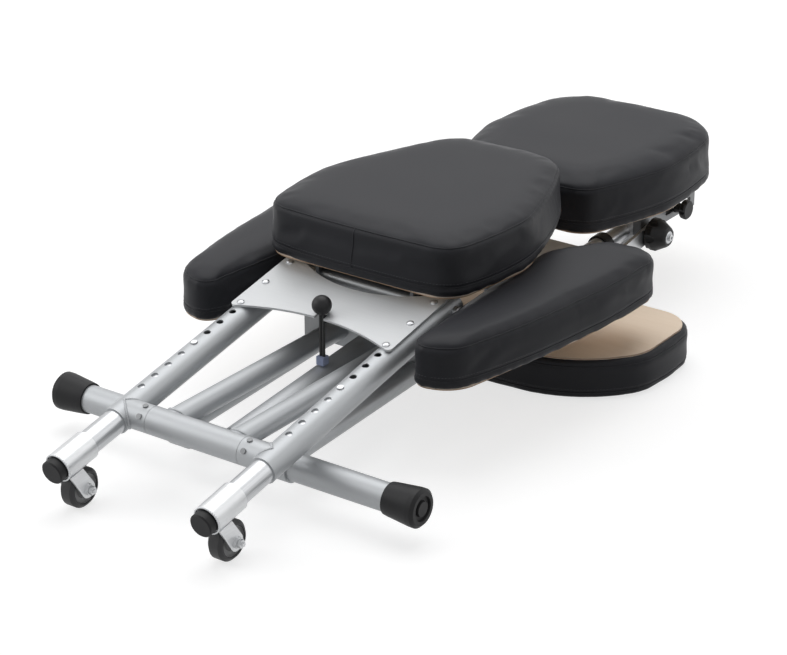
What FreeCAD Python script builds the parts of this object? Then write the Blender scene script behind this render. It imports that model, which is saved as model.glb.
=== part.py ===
import FreeCAD, Part
import math
import os
import re
from types import SimpleNamespace
from FreeCAD import Placement, Rotation, Vector

# Folding massage chair, shown folded flat. Millimetres.
# X runs across the chair, Y from the wheels to the chest pad, Z up from the floor.

doc = FreeCAD.newDocument("folding_massage_chair")

SIZES = {
    # where the origin lies, measured forward from the leg caps
    "origin_back": 573.145,
    # legs with their telescoping lower halves
    "leg_spacing": 221.2,
    "leg_tilt": 11.2,
    "leg_od": 35.0,
    "leg_bore": 31.0,
    "leg_tube_start": 114.7,
    "leg_tube_length": 385.3,
    "inner_leg_od": 30.9,
    "inner_leg_bore": 27.0,
    "inner_leg_start": 12.0,
    "inner_leg_tail": 20.8,
    "hole_start": 167.6,
    "hole_pitch": 25.4,
    "hole_count": 8,
    "hole_diameter": 9.0,
    "button_index": 4,
    "button_diameter": 8.0,
    "button_rise": 1.6,
    "cap_diameter": 30.0,
    "cap_start": -0.5,
    "cap_length": 12.5,
    # castors on the lower legs
    "wheel_diameter": 50.0,
    "wheel_width": 21.0,
    "wheel_along": 37.6,
    "wheel_drop": 43.5,
    "axle_diameter": 8.0,
    "axle_head": 14.0,
    "running_gap": 0.05,
    "fork_gap": 1.5,
    "fork_plate": 2.5,
    "fork_edge": 4.0,
    "fork_collar_od": 36.5,
    "fork_collar_start": 12.0,
    "fork_collar_length": 50.0,
    "fork_top_width": 22.0,
    # hinge bar between the legs and the sleeve that turns on it
    "hinge_along": 136.2,
    "hinge_bar_od": 35.0,
    "hinge_pin_od": 28.0,
    "sleeve_half": 68.5,
    "sleeve_end_gap": 0.5,
    "screw_diameter": 7.0,
    "screw_rise": 1.5,
    # plate across the legs and its rivets
    "plate_half": 122.0,
    "plate_start": 352.0,
    "plate_end": 497.0,
    "plate_dip": 25.0,
    "plate_notch": 50.0,
    "plate_thick": 3.0,
    "plate_round": 6.0,
    "rivet_start": 363.0,
    "rivet_pitch": 51.2,
    "rivet_diameter": 10.0,
    "rivet_rise": 3.0,
    # seat pivot at the leg tops
    "pivot_along": 484.0,
    "pivot_od": 16.0,
    "nut_diameter": 17.0,
    "nut_length": 10.0,
    # ball and cord that keep the legs shut
    "ball_diameter": 25.0,
    "ball_along": 386.0,
    "cord_diameter": 4.0,
    "cord_spread": 2.15,
    "cord_notch_width": 14.0,
    "cord_notch_depth": 12.0,
    "clip_width": 11.0,
    "clip_height": 11.0,
    "clip_gap": 0.6,
    # floor frame
    "foot_half": 273.0,
    "foot_y": 197.8,
    "foot_z": 46.5,
    "foot_od": 35.0,
    "foot_bore": 31.0,
    "tip_length": 46.0,
    "tip_diameter": 48.0,
    "tip_neck": 40.0,
    "tip_end_wall": 12.0,
    "tip_ring_depth": 3.0,
    "spine_od": 35.0,
    "spine_bore": 31.0,
    "spine_end": 590.0,
    "spine_angle": 5.2,
    "spine_lift": 7.5,
    "strut_half": 47.0,
    "strut_od": 28.0,
    "strut_bore": 24.0,
    "strut_lift": 2.5,
    "bridge_y": 470.0,
    "bridge_thick": 6.0,
    "bridge_half": 61.0,
    "bridge_low": 66.0,
    "bridge_high": 106.0,
    "prop_y": 572.0,
    "prop_diameter": 30.0,
    # chest column: two rails with sliding inner rails
    "rail_half": 77.0,
    "rail_od": 28.0,
    "rail_bore": 24.0,
    "rail_angle": 2.75,
    "rail_end": 895.0,
    "rail_lift": 8.0,
    "rail_collar_od": 40.5,
    "rail_collar_width": 26.0,
    "rail_ring_od": 34.0,
    "rail_ring_length": 16.0,
    "inner_rail_od": 23.9,
    "inner_rail_bore": 20.0,
    "inner_rail_start": 690.0,
    "inner_rail_end": 986.0,
    "cross_plate_y": 780.0,
    "cross_plate_length": 72.0,
    "cross_plate_half": 93.0,
    "cross_plate_thick": 4.0,
    "cross_rivet_inset": 16.0,
    # knee pads and what carries them
    "knee_near": 332.0,
    "knee_length": 424.0,
    "knee_clear": 13.0,
    "knee_near_width": 76.0,
    "knee_near_slant": 16.0,
    "knee_belly": 233.0,
    "knee_belly_width": 116.0,
    "knee_far_width": 126.0,
    "knee_chamfer": 86.0,
    "knee_round": 36.0,
    "knee_near_bend": 0.663,
    "knee_far_bend": 0.314,
    "knee_inner_bend": 0.357,
    "knee_bracket_rear": 470.0,
    "knee_bracket_front": 650.0,
    "knee_bracket_width": 30.0,
    "knee_bracket_outer": 212.0,
    "knee_bracket_thick": 12.0,
    "knee_board_low": 115.0,
    "knee_seam": 168.0,
    "knee_crown": 10.0,
    "board_thick": 12.0,
    "board_inset": 5.0,
    "pad_lip": 1.0,
    # seat
    "seat_near": 438.0,
    "seat_belly": 148.0,
    "seat_length": 360.0,
    "seat_near_half": 147.0,
    "seat_mid_half": 166.0,
    "seat_tip_half": 88.0,
    "seat_near_round": 42.0,
    "seat_mid_round": 120.0,
    "seat_tip_round": 76.0,
    "seat_board_low": 181.0,
    "seat_lip": 2.0,
    "seat_seam": 246.0,
    "seat_crown": 8.0,
    "channel_half": 75.0,
    "channel_start": 459.0,
    "channel_length": 170.0,
    "channel_thick": 5.0,
    "channel_ear": 50.0,
    "channel_ear_low": 142.0,
    "channel_tube_od": 28.0,
    "bush_od": 22.0,
    "bush_length": 14.0,
    # chest pad and its carrier
    "chest_near": 807.0,
    "chest_belly": 145.0,
    "chest_length": 343.0,
    "chest_near_half": 108.0,
    "chest_mid_half": 154.0,
    "chest_far_half": 134.0,
    "chest_near_round": 42.0,
    "chest_mid_round": 140.0,
    "chest_far_round": 90.0,
    "chest_board_low": 138.0,
    "chest_seam": 200.0,
    "chest_crown": 15.0,
    "arm_pivot_y": 975.0,
    "arm_pivot_z": 92.0,
    "block_width": 34.0,
    "block_length": 34.0,
    "block_low": 72.0,
    "block_high": 116.0,
    "carrier_bar_thick": 8.0,
    "slide_bar_half": 101.0,
    "slide_bar_thick": 5.0,
    "slide_bar_length": 150.0,
    "slide_bar_height": 26.0,
    "slot_height": 8.4,
    "slot_start": 1030.0,
    "slot_end": 1092.0,
    "stud_diameter": 10.0,
    "knob_bolt_y": 1056.0,
    "knob_bolt_diameter": 8.0,
    "big_knob_diameter": 46.0,
    "big_knob_length": 30.0,
    "small_knob_diameter": 28.0,
    "small_knob_length": 20.0,
    "knob_lobes": 6,
    "knob_bore_share": 0.6,
    "knob_bolt_gap": 0.5,
    "plate_gap": 0.4,
    # armrest
    "armrest_width": 559.0,
    "armrest_near": 598.0,
    "armrest_depth": 234.0,
    "armrest_sweep": 92.0,
    "armrest_near_bend": 0.608,
    "armrest_end_round": 50.0,
    "armrest_rim": 9.0,
    "armrest_lip": 2.0,
    "armrest_seam": 8.0,
    "armrest_high": 57.0,
    "arm_bar_thick": 5.0,
    "arm_bar_width": 24.0,
    "arm_foot_y": 800.0,
    "arm_foot_length": 44.0,
    "arm_foot_thick": 4.0,
}

sheet = doc.addObject("Spreadsheet::Sheet", "Sizes")
for row, (alias, value) in enumerate(SIZES.items(), start=1):
    sheet.set("A%d" % row, alias)
    sheet.set("B%d" % row, str(value))
    sheet.setAlias("B%d" % row, alias)
doc.recompute()
dim = SimpleNamespace(**{alias: float(sheet.get(alias)) for alias in SIZES})

X_AXIS = Vector(1, 0, 0)
SIDES = (("left", -1), ("right", 1))
SEAM_INSET = 0.6
INNER_LEG_LENGTH = "hole_start + button_index * hole_pitch + inner_leg_tail - inner_leg_start"
NODES = []

# Directions and heights that follow from the sizes
tilt = math.radians(dim.leg_tilt)
LEG_DIR = Vector(0, math.cos(tilt), math.sin(tilt))
LEG_UP = Vector(0, -math.sin(tilt), math.cos(tilt))
LEG_TURN = Rotation(X_AXIS, dim.leg_tilt)
LEG_X = dim.leg_spacing / 2
LEG_R = dim.leg_od / 2
CAP_Z = dim.wheel_diameter / 2 - dim.wheel_along * math.sin(tilt) + dim.wheel_drop * math.cos(tilt)
RAIL_DIR = Vector(0, math.cos(math.radians(dim.rail_angle)), math.sin(math.radians(dim.rail_angle)))
SPINE_DIR = Vector(0, math.cos(math.radians(dim.spine_angle)), math.sin(math.radians(dim.spine_angle)))


def at(x, forward, height):
    """A point given by its distance forward from the leg caps."""
    return Vector(x, forward - dim.origin_back, height)


def leg_point(x, along, up=0.0):
    """A point in the legs' own tilted plane."""
    return at(x, 0, CAP_Z) + LEG_DIR * along + LEG_UP * up


def rail_z(forward):
    """Height of the rails' axis."""
    return dim.foot_z + dim.rail_lift + (forward - dim.foot_y) * math.tan(math.radians(dim.rail_angle))


def spine_z(forward):
    """Height of the spine's axis."""
    return dim.foot_z + dim.spine_lift + (forward - dim.foot_y) * math.tan(math.radians(dim.spine_angle))


def bind(words):
    """The same words as an expression on the sheet of sizes."""
    return re.sub(r"[a-z]\w*", lambda m: "Sizes." + m[0] if m[0] in SIZES else m[0], words)


def rod(name, diameter, length, start, direction):
    """A round bar from a point along a direction."""
    obj = doc.addObject("Part::Cylinder", name)
    obj.setExpression("Radius", bind("(%s) / 2" % diameter))
    obj.setExpression("Height", bind(length))
    obj.Placement = Placement(start, Rotation(Vector(0, 0, 1), direction))
    return obj


def block(name, size_x, size_y, size_z, corner, rotation=Rotation()):
    """A rectangular bar from its lowest corner."""
    obj = doc.addObject("Part::Box", name)
    obj.setExpression("Length", bind(size_x))
    obj.setExpression("Width", bind(size_y))
    obj.setExpression("Height", bind(size_z))
    obj.Placement = Placement(corner, rotation)
    return obj


def cut(name, base, tools):
    """Take one or more bodies out of another."""
    obj = doc.addObject("Part::Cut", name)
    obj.Base = base
    obj.Tool = tools[0] if len(tools) == 1 else fuse(name + "_tools", tools)
    return obj


def fuse(name, bodies):
    """Join bodies into one."""
    obj = doc.addObject("Part::MultiFuse", name)
    obj.Shapes = bodies
    return obj


def tube(name, outer, bore, length, start, direction):
    """A round tube, open at both ends."""
    skin = rod(name + "_skin", outer, length, start, direction)
    core = rod(name + "_core", bore, length, start, direction)
    return cut(name, skin, [core])


def form(name, shape):
    """A body whose shape is made by Part's own functions."""
    obj = doc.addObject("Part::Feature", name)
    obj.Shape = shape
    return obj


def node(obj, label):
    """Name a finished sub-part."""
    obj.Label = label
    NODES.append(obj)
    return obj


def group(label, bodies):
    """Several separate solids kept together as one sub-part."""
    obj = doc.addObject("Part::Compound", label + "_set")
    obj.Links = bodies
    return node(obj, label)


def turned(name, profile, start, direction):
    """A turned body from (along, radius) points on its half profile."""
    points = [Vector(radius, 0, along) for along, radius in profile]
    wire = Part.makePolygon(points + points[:1])
    solid = Part.Face(wire).revolve(Vector(), Vector(0, 0, 1), 360)
    obj = form(name, solid)
    obj.Placement = Placement(start, Rotation(Vector(0, 0, 1), direction))
    return obj


def rounded_wire(corners, centre, inset, height):
    """A closed outline of straight runs and corner arcs, drawn in by an inset."""
    half_x = max(abs(x - centre[0]) for x, y, r in corners)
    half_y = max(abs(y - centre[1]) for x, y, r in corners)
    scale_x = 1 - inset / half_x
    scale_y = 1 - inset / half_y
    points = []
    for x, y, radius in corners:
        place = at(centre[0] + (x - centre[0]) * scale_x, centre[1] + (y - centre[1]) * scale_y, height)
        points.append((place, radius * min(scale_x, scale_y)))
    edges = []
    arcs = []
    for index, (corner, radius) in enumerate(points):
        before = (points[index - 1][0] - corner).normalize()
        after = (points[(index + 1) % len(points)][0] - corner).normalize()
        half_angle = before.getAngle(after) / 2
        reach = radius / math.tan(half_angle)
        bisector = (before + after).normalize()
        middle = corner + bisector * (radius / math.sin(half_angle) - radius)
        arcs.append((corner + before * reach, middle, corner + after * reach))
    for index, (start, middle, end) in enumerate(arcs):
        edges.append(Part.Arc(start, middle, end).toShape())
        edges.append(Part.LineSegment(end, arcs[(index + 1) % len(arcs)][0]).toShape())
    return Part.Wire(edges)


def mirrored(half):
    """A symmetric outline from its right half, listed from near to far."""
    left = [(-x, y, radius) for x, y, radius in reversed(half)]
    return half + left


def outline_centre(corners):
    """Middle of an outline's box."""
    xs = [x for x, y, r in corners]
    ys = [y for x, y, r in corners]
    return (min(xs) + max(xs)) / 2, (min(ys) + max(ys)) / 2


def pocketed(label, wires, corners, inset, low):
    """A lofted pad with a pocket for its board."""
    body = form(label + "_body", Part.makeLoft(wires, True, True))
    wire = rounded_wire(corners, outline_centre(corners), inset, low)
    pocket = form(label + "_pocket", Part.Face(wire).extrude(Vector(0, 0, dim.board_thick)))
    return node(cut(label + "_shell", body, [pocket]), label)


def cushion(label, corners, board_low, lip, seam, crown):
    """A stuffed pad: a skirt round its board, drawn-in sides, a seam and a crowned top."""
    centre = outline_centre(corners)
    low = board_low + lip
    side = seam - low
    levels = [
        (low, 3.0),
        (low + side * 0.10, 0.8),
        (low + side * 0.50, 2.2),
        (low + side * 0.90, SEAM_INSET),
        (seam, 1.5),
        (seam + crown * 0.50, 7.0),
        (seam + crown * 0.82, 20.0),
        (seam + crown, 46.0),
    ]
    wires = [rounded_wire(corners, centre, inset, height) for height, inset in levels]
    return pocketed(label, wires, corners, dim.board_inset, board_low)


def armrest_cushion(label, corners):
    """The armrest's pad, facing the floor, with its rim turned up round the board."""
    centre = outline_centre(corners)
    rim = dim.armrest_high - dim.armrest_lip
    side = rim - dim.armrest_seam
    levels = [
        (rim, 4.0),
        (rim - side * 0.10, 1.0),
        (rim - side * 0.50, 3.0),
        (rim - side * 0.90, SEAM_INSET),
        (dim.armrest_seam, 1.5),
        (dim.armrest_seam * 0.45, 9.0),
        (0.0, 26.0),
    ]
    wires = [rounded_wire(corners, centre, inset, height) for height, inset in levels]
    return pocketed(label, wires, corners, dim.armrest_rim, dim.armrest_high - dim.board_thick)


def board(label, corners, low, inset):
    """A plywood backing board under a pad."""
    wire = rounded_wire(corners, outline_centre(corners), inset, low)
    return node(form(label, Part.Face(wire).extrude(Vector(0, 0, dim.board_thick))), label)


# Pad outlines: corner X, corner forward distance, corner radius
NUT_END = LEG_X + LEG_R + dim.nut_length
ARMREST_HALF = dim.armrest_width / 2
SEAT_OUTLINE = mirrored([
    (dim.seat_near_half, dim.seat_near, dim.seat_near_round),
    (dim.seat_mid_half, dim.seat_near + dim.seat_belly, dim.seat_mid_round),
    (dim.seat_tip_half, dim.seat_near + dim.seat_length, dim.seat_tip_round),
])
CHEST_OUTLINE = mirrored([
    (dim.chest_near_half, dim.chest_near, dim.chest_near_round),
    (dim.chest_mid_half, dim.chest_near + dim.chest_belly, dim.chest_mid_round),
    (dim.chest_far_half, dim.chest_near + dim.chest_length, dim.chest_far_round),
])
KNEE_FAR = dim.knee_near + dim.knee_length
KNEE_OUTLINE = [
    (NUT_END + dim.knee_clear, dim.knee_near, dim.knee_round * 0.6),
    (
        NUT_END + dim.knee_near_width, dim.knee_near + dim.knee_near_slant,
        dim.knee_near_width * dim.knee_near_bend,
    ),
    (NUT_END + dim.knee_belly_width, dim.knee_near + dim.knee_belly, dim.knee_round * 4),
    (NUT_END + dim.knee_far_width, KNEE_FAR, dim.knee_far_width * dim.knee_far_bend),
    (NUT_END + dim.knee_far_width / 3, KNEE_FAR, dim.knee_far_width * dim.knee_inner_bend),
    (NUT_END - dim.knee_clear, KNEE_FAR - dim.knee_chamfer, dim.knee_round * 1.6),
]
ARMREST_OUTLINE = mirrored([
    (ARMREST_HALF * 0.76, dim.armrest_near, ARMREST_HALF * dim.armrest_near_bend),
    (ARMREST_HALF + SEAM_INSET, dim.armrest_near + dim.armrest_sweep, dim.armrest_end_round * 1.4),
    (ARMREST_HALF, dim.armrest_near + dim.armrest_depth, dim.armrest_end_round),
])


def make_foot_bar():
    """Floor bar with its rubber tips."""
    reach = dim.foot_half - dim.tip_end_wall
    centre = at(-reach, dim.foot_y, dim.foot_z)
    bar_length = "2 * (foot_half - tip_end_wall)"
    node(tube("foot_tube", "foot_od", "foot_bore", bar_length, centre, X_AXIS), "foot_bar")
    tips = []
    for side, sign in SIDES:
        profile = [
            (0, dim.foot_od / 2),
            (0, dim.tip_neck / 2),
            (dim.tip_length * 0.12, dim.tip_neck * 0.52),
            (dim.tip_length * 0.78, dim.tip_diameter / 2),
            (dim.tip_length * 0.92, dim.tip_diameter / 2),
            (dim.tip_length, dim.tip_diameter * 0.42),
            (dim.tip_length, dim.tip_diameter * 0.32),
            (dim.tip_length - dim.tip_ring_depth, dim.tip_diameter * 0.30),
            (dim.tip_length - dim.tip_ring_depth, dim.tip_diameter * 0.21),
            (dim.tip_length, dim.tip_diameter * 0.19),
            (dim.tip_length, 0),
            (dim.tip_length - dim.tip_end_wall, 0),
            (dim.tip_length - dim.tip_end_wall, dim.foot_od / 2),
        ]
        start = at(sign * (dim.foot_half - dim.tip_length), dim.foot_y, dim.foot_z)
        tips.append(turned("tip_" + side, profile, start, X_AXIS * sign))
    group("foot_tips", tips)


def make_floor_frame():
    """Spine, struts, hinge sleeve, bridge plate and prop foot."""
    bar = rod("foot_tool", "foot_od", "2 * foot_half", at(-dim.foot_half, dim.foot_y, dim.foot_z), X_AXIS)
    start = at(0, dim.foot_y, spine_z(dim.foot_y))
    length = "(spine_end - foot_y) / cos(spine_angle * 1 deg)"
    raw_spine = rod("spine_skin", "spine_od", length, start, SPINE_DIR)
    spine_core = rod("spine_core", "spine_bore", length, start, SPINE_DIR)
    node(cut("spine", raw_spine, [spine_core, bar]), "spine_tube")

    hinge = leg_point(0, dim.hinge_along)
    sleeve_start = hinge - X_AXIS * dim.sleeve_half
    sleeve_bore = "hinge_pin_od + 2 * running_gap"
    sleeve = tube("sleeve", "hinge_bar_od", sleeve_bore, "2 * sleeve_half", sleeve_start, X_AXIS)
    node(sleeve, "pivot_sleeve")

    sleeve_tool = rod("sleeve_tool", "hinge_bar_od", "2 * sleeve_half", sleeve_start, X_AXIS)
    hinge_forward = hinge.y + dim.origin_back
    struts = []
    for side, sign in SIDES:
        begin = at(sign * dim.strut_half, hinge_forward, hinge.z + dim.strut_lift)
        name = "strut_" + side
        skin = rod(name + "_skin", "strut_od", "bridge_y - %f" % hinge_forward, begin, Vector(0, 1, 0))
        core = rod(name + "_core", "strut_bore", "bridge_y - %f" % hinge_forward, begin, Vector(0, 1, 0))
        struts.append(cut(name, skin, [core, sleeve_tool]))
    group("hinge_struts", struts)

    plate = block(
        "bridge_block", "2 * bridge_half", "bridge_thick", "bridge_high - bridge_low",
        at(-dim.bridge_half, dim.bridge_y, dim.bridge_low),
    )
    spine_tool = rod("spine_tool", "spine_od", length, start, SPINE_DIR)
    node(cut("bridge", plate, [spine_tool]), "strut_bridge")

    post_height = "%f" % spine_z(dim.prop_y)
    prop = rod("prop_post", "prop_diameter", post_height, at(0, dim.prop_y, 0), Vector(0, 0, 1))
    node(cut("prop", prop, [spine_tool]), "prop_foot")


def make_leg_frame():
    """Perforated legs, hinge bar, pivot rod and nuts."""
    pivot = leg_point(0, dim.pivot_along)
    for side, sign in SIDES:
        x = sign * LEG_X
        name = "leg_" + side
        start = leg_point(x, dim.leg_tube_start)
        skin = rod(name + "_skin", "leg_od", "leg_tube_length", start, LEG_DIR)
        tools = [rod(name + "_core", "leg_bore", "leg_tube_length", start, LEG_DIR)]
        for index in range(int(dim.hole_count)):
            place = leg_point(x, dim.hole_start + index * dim.hole_pitch)
            tools.append(rod("%s_hole_%d" % (name, index), "hole_diameter", "leg_od", place, LEG_UP))
        pivot_start = pivot + X_AXIS * (x - dim.leg_od)
        tools.append(rod(name + "_pivot", "pivot_od", "2 * leg_od", pivot_start, X_AXIS))
        node(cut(name, skin, tools), "leg_tube_" + side)

    hinge = leg_point(0, dim.hinge_along)
    outer = dim.sleeve_half + dim.sleeve_end_gap
    profile = [
        (-LEG_X, 0), (-LEG_X, dim.hinge_bar_od / 2), (-outer, dim.hinge_bar_od / 2),
        (-outer, dim.hinge_pin_od / 2), (outer, dim.hinge_pin_od / 2), (outer, dim.hinge_bar_od / 2),
        (LEG_X, dim.hinge_bar_od / 2), (LEG_X, 0),
    ]
    bar = turned("hinge_turned", profile, hinge, X_AXIS)
    legs = []
    for side, sign in SIDES:
        start = leg_point(sign * LEG_X, dim.leg_tube_start)
        legs.append(rod("hinge_leg_" + side, "leg_od", "leg_tube_length", start, LEG_DIR))
    node(cut("hinge", bar, legs), "hinge_bar")

    screws = []
    for side, sign in SIDES:
        for turn in (150, 100):
            angle = math.radians(turn)
            outward = Vector(0, math.cos(angle), math.sin(angle))
            place = hinge + X_AXIS * sign * (outer + 9) + outward * (dim.hinge_bar_od / 2 - 0.6)
            screw = rod("screw_%s_%d" % (side, turn), "screw_diameter", "screw_rise + 0.6", place, outward)
            bar_tool = rod(
                "screw_seat_%s_%d" % (side, turn), "hinge_bar_od", "2 * screw_diameter",
                hinge + X_AXIS * (sign * (outer + 9) - dim.screw_diameter), X_AXIS,
            )
            screws.append(cut("screw_head_%s_%d" % (side, turn), screw, [bar_tool]))
    group("hinge_screws", screws)

    reach = LEG_X + LEG_R
    node(rod("pivot", "pivot_od", "leg_spacing + leg_od", pivot - X_AXIS * reach, X_AXIS), "pivot_rod")
    nuts = []
    for side, sign in SIDES:
        profile = [
            (0, 0), (0, dim.nut_diameter / 2), (dim.nut_length * 0.5, dim.nut_diameter / 2),
            (dim.nut_length * 0.8, dim.nut_diameter * 0.38), (dim.nut_length, dim.nut_diameter * 0.18),
            (dim.nut_length, 0),
        ]
        nuts.append(turned("nut_" + side, profile, pivot + X_AXIS * sign * reach, X_AXIS * sign))
    group("acorn_nuts", nuts)


def make_leg_plate():
    """Flat plate with hollowed ends riveted across the legs, notched for the cord."""
    half = dim.plate_half
    low = LEG_R
    near_mid = dim.plate_start + dim.plate_dip
    far_mid = dim.plate_end - dim.plate_notch
    corners = {
        "near_left": leg_point(-half, dim.plate_start, low),
        "near_right": leg_point(half, dim.plate_start, low),
        "far_right": leg_point(half, dim.plate_end, low),
        "far_left": leg_point(-half, dim.plate_end, low),
    }
    near = Part.Arc(corners["near_left"], leg_point(0, near_mid, low), corners["near_right"])
    far = Part.Arc(corners["far_right"], leg_point(0, far_mid, low), corners["far_left"])
    wire = Part.Wire([
        near.toShape(),
        Part.LineSegment(corners["near_right"], corners["far_right"]).toShape(),
        far.toShape(),
        Part.LineSegment(corners["far_left"], corners["near_left"]).toShape(),
    ])
    sheet_metal = Part.Face(wire).extrude(LEG_UP * dim.plate_thick)
    uprights = [edge for edge in sheet_metal.Edges if abs(edge.Length - dim.plate_thick) < dim.running_gap]
    flat = form("plate_flat", sheet_metal.makeFillet(dim.plate_round, uprights))
    notch = block(
        "cord_notch", "cord_notch_width", "2 * cord_notch_depth", "3 * plate_thick",
        leg_point(-dim.cord_notch_width / 2, near_mid - dim.cord_notch_depth, low - dim.plate_thick),
        LEG_TURN,
    )
    node(cut("plate", flat, [notch]), "leg_plate")
    rivets = []
    top = low + dim.plate_thick
    for side, sign in SIDES:
        for index in range(3):
            radius = dim.rivet_diameter / 2
            profile = [
                (0, 0), (0, radius), (dim.rivet_rise * 0.5, radius * 0.92),
                (dim.rivet_rise * 0.85, radius * 0.6), (dim.rivet_rise, radius * 0.2), (dim.rivet_rise, 0),
            ]
            place = leg_point(sign * LEG_X, dim.rivet_start + index * dim.rivet_pitch, top)
            rivets.append(turned("rivet_%s_%d" % (side, index), profile, place, LEG_UP))
    group("plate_rivets", rivets)


def make_bungee():
    """Ball above the plate, its doubled cord and the clip on the spine."""
    radius = dim.ball_diameter / 2
    lift = LEG_R + dim.plate_thick + radius + 0.4
    centre = leg_point(0, dim.ball_along, lift)
    forward = centre.y + dim.origin_back
    spine_rise = dim.spine_od / 2 / math.cos(math.radians(dim.spine_angle))
    clip_low = spine_z(forward) + spine_rise + dim.clip_gap + 1
    clip_high = clip_low + dim.clip_height
    ball = doc.addObject("Part::Sphere", "ball")
    ball.setExpression("Radius", bind("ball_diameter / 2"))
    ball.Placement = Placement(centre, Rotation())
    node(ball, "bungee_ball")
    ball_tool = doc.addObject("Part::Sphere", "ball_tool")
    ball_tool.setExpression("Radius", bind("ball_diameter / 2"))
    ball_tool.Placement = Placement(centre, Rotation())
    strands = []
    for side, sign in SIDES:
        start = at(sign * dim.cord_spread, forward, clip_high)
        drop = "%f" % (centre.z - clip_high)
        strand = rod("strand_" + side, "cord_diameter", drop, start, Vector(0, 0, 1))
        strands.append(cut("cord_" + side, strand, [ball_tool]))
    group("bungee_cord", strands)
    corner = at(-dim.clip_width / 2, forward - dim.clip_width / 2, clip_low)
    node(block("clip", "clip_width", "clip_width", "clip_height", corner), "cord_clip")


def cheek_plate(x):
    """One side of a castor fork: wide under the collar, tapering to a round end about the axle."""
    radius = dim.axle_head / 2 + dim.fork_edge
    near = dim.fork_collar_start + dim.fork_edge / 2
    far = near + dim.fork_top_width
    top = -dim.inner_leg_od * 0.4
    centre = (dim.wheel_along, -dim.wheel_drop)
    ends = []
    for along, turn in ((near, 1), (far, -1)):
        reach = math.hypot(along - centre[0], top - centre[1])
        heading = math.atan2(top - centre[1], along - centre[0])
        lean = heading + turn * math.acos(radius / reach)
        ends.append((centre[0] + radius * math.cos(lean), centre[1] + radius * math.sin(lean)))
    near_top = leg_point(x, near, top)
    far_top = leg_point(x, far, top)
    near_low = leg_point(x, *ends[0])
    far_low = leg_point(x, *ends[1])
    wire = Part.Wire([
        Part.LineSegment(far_top, near_top).toShape(),
        Part.LineSegment(near_top, near_low).toShape(),
        Part.Arc(near_low, leg_point(x, centre[0], centre[1] - radius), far_low).toShape(),
        Part.LineSegment(far_low, far_top).toShape(),
    ])
    return Part.Face(wire).extrude(X_AXIS * dim.fork_plate)


def make_lower_legs():
    """Sliding lower legs with caps, castors and snap buttons."""
    button_along = dim.hole_start + dim.button_index * dim.hole_pitch
    fork_inner = dim.wheel_width / 2 + dim.fork_gap
    for side, sign in SIDES:
        x = sign * LEG_X
        name = "lower_" + side
        start = leg_point(x, dim.inner_leg_start)
        skin = rod(name + "_skin", "inner_leg_od", INNER_LEG_LENGTH, start, LEG_DIR)
        core = rod(name + "_core", "inner_leg_bore", INNER_LEG_LENGTH, start, LEG_DIR)
        hole_place = leg_point(x, button_along)
        hole = rod(name + "_hole", "button_diameter + 2 * running_gap", "leg_od", hole_place, LEG_UP)
        node(cut(name, skin, [core, hole]), "inner_leg_" + side)

        radius = dim.cap_diameter / 2
        profile = [
            (0, 0), (0, radius - 1.5), (1.5, radius), (dim.cap_length, radius), (dim.cap_length, 0),
        ]
        node(turned("cap_" + side, profile, leg_point(x, dim.cap_start), LEG_DIR), "leg_cap_" + side)

        collar_start = leg_point(x, dim.fork_collar_start)
        collar = rod(name + "_collar", "fork_collar_od", "fork_collar_length", collar_start, LEG_DIR)
        cheeks = []
        for hand in (-1, 1):
            inner_x = x + (fork_inner if hand > 0 else -fork_inner - dim.fork_plate)
            cheeks.append(form("%s_cheek_%d" % (name, hand), cheek_plate(inner_x)))
        raw = fuse(name + "_fork", [collar] + cheeks)
        leg_tool = rod(name + "_leg_tool", "inner_leg_od", INNER_LEG_LENGTH, start, LEG_DIR)
        axle_start = leg_point(x - fork_inner - dim.fork_plate, dim.wheel_along, -dim.wheel_drop)
        axle_length = "wheel_width + 2 * fork_gap + 2 * fork_plate"
        axle_tool = rod(name + "_axle_tool", "axle_diameter", axle_length, axle_start, X_AXIS)
        wheel_room = rod(
            name + "_wheel_room", "wheel_diameter + 4", "wheel_width + 2 * fork_gap",
            leg_point(x - fork_inner, dim.wheel_along, -dim.wheel_drop), X_AXIS,
        )
        node(cut(name + "_castor", raw, [leg_tool, axle_tool, wheel_room]), "caster_fork_" + side)

        shank = rod(name + "_shank", "axle_diameter", axle_length, axle_start, X_AXIS)
        heads = []
        for hand in (-1, 1):
            face = x + hand * (fork_inner + dim.fork_plate)
            place = leg_point(face, dim.wheel_along, -dim.wheel_drop)
            label = "%s_head_%d" % (name, hand)
            heads.append(rod(label, "axle_head", "axle_diameter / 2", place, X_AXIS * hand))
        node(fuse(name + "_axle", [shank] + heads), "caster_axle_" + side)

        rim = dim.wheel_diameter / 2
        half = dim.wheel_width / 2
        bore = dim.axle_diameter / 2 + dim.running_gap
        profile = [
            (-half, bore), (-half, rim * 0.45), (-half + 3, rim * 0.5), (-half + 3, rim * 0.72),
            (-half, rim * 0.76), (-half, rim - 4), (-half + 4, rim), (half - 4, rim), (half, rim - 4),
            (half, rim * 0.76), (half - 3, rim * 0.72), (half - 3, rim * 0.5), (half, rim * 0.45),
            (half, bore),
        ]
        node(
            turned("wheel_" + side, profile, leg_point(x, dim.wheel_along, -dim.wheel_drop), X_AXIS),
            "caster_wheel_" + side,
        )

        spring_up = dim.inner_leg_bore / 2 - 2.5
        post = rod(
            name + "_button", "button_diameter", "leg_od / 2 + button_rise - %f" % spring_up,
            leg_point(x, button_along, spring_up), LEG_UP,
        )
        leaf = block(
            name + "_leaf", "button_diameter", "2 * hole_pitch", "fork_plate / 2",
            leg_point(x - dim.button_diameter / 2, button_along - 2 * dim.hole_pitch, spring_up), LEG_TURN,
        )
        node(fuse(name + "_snap", [post, leaf]), "snap_button_" + side)


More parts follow.
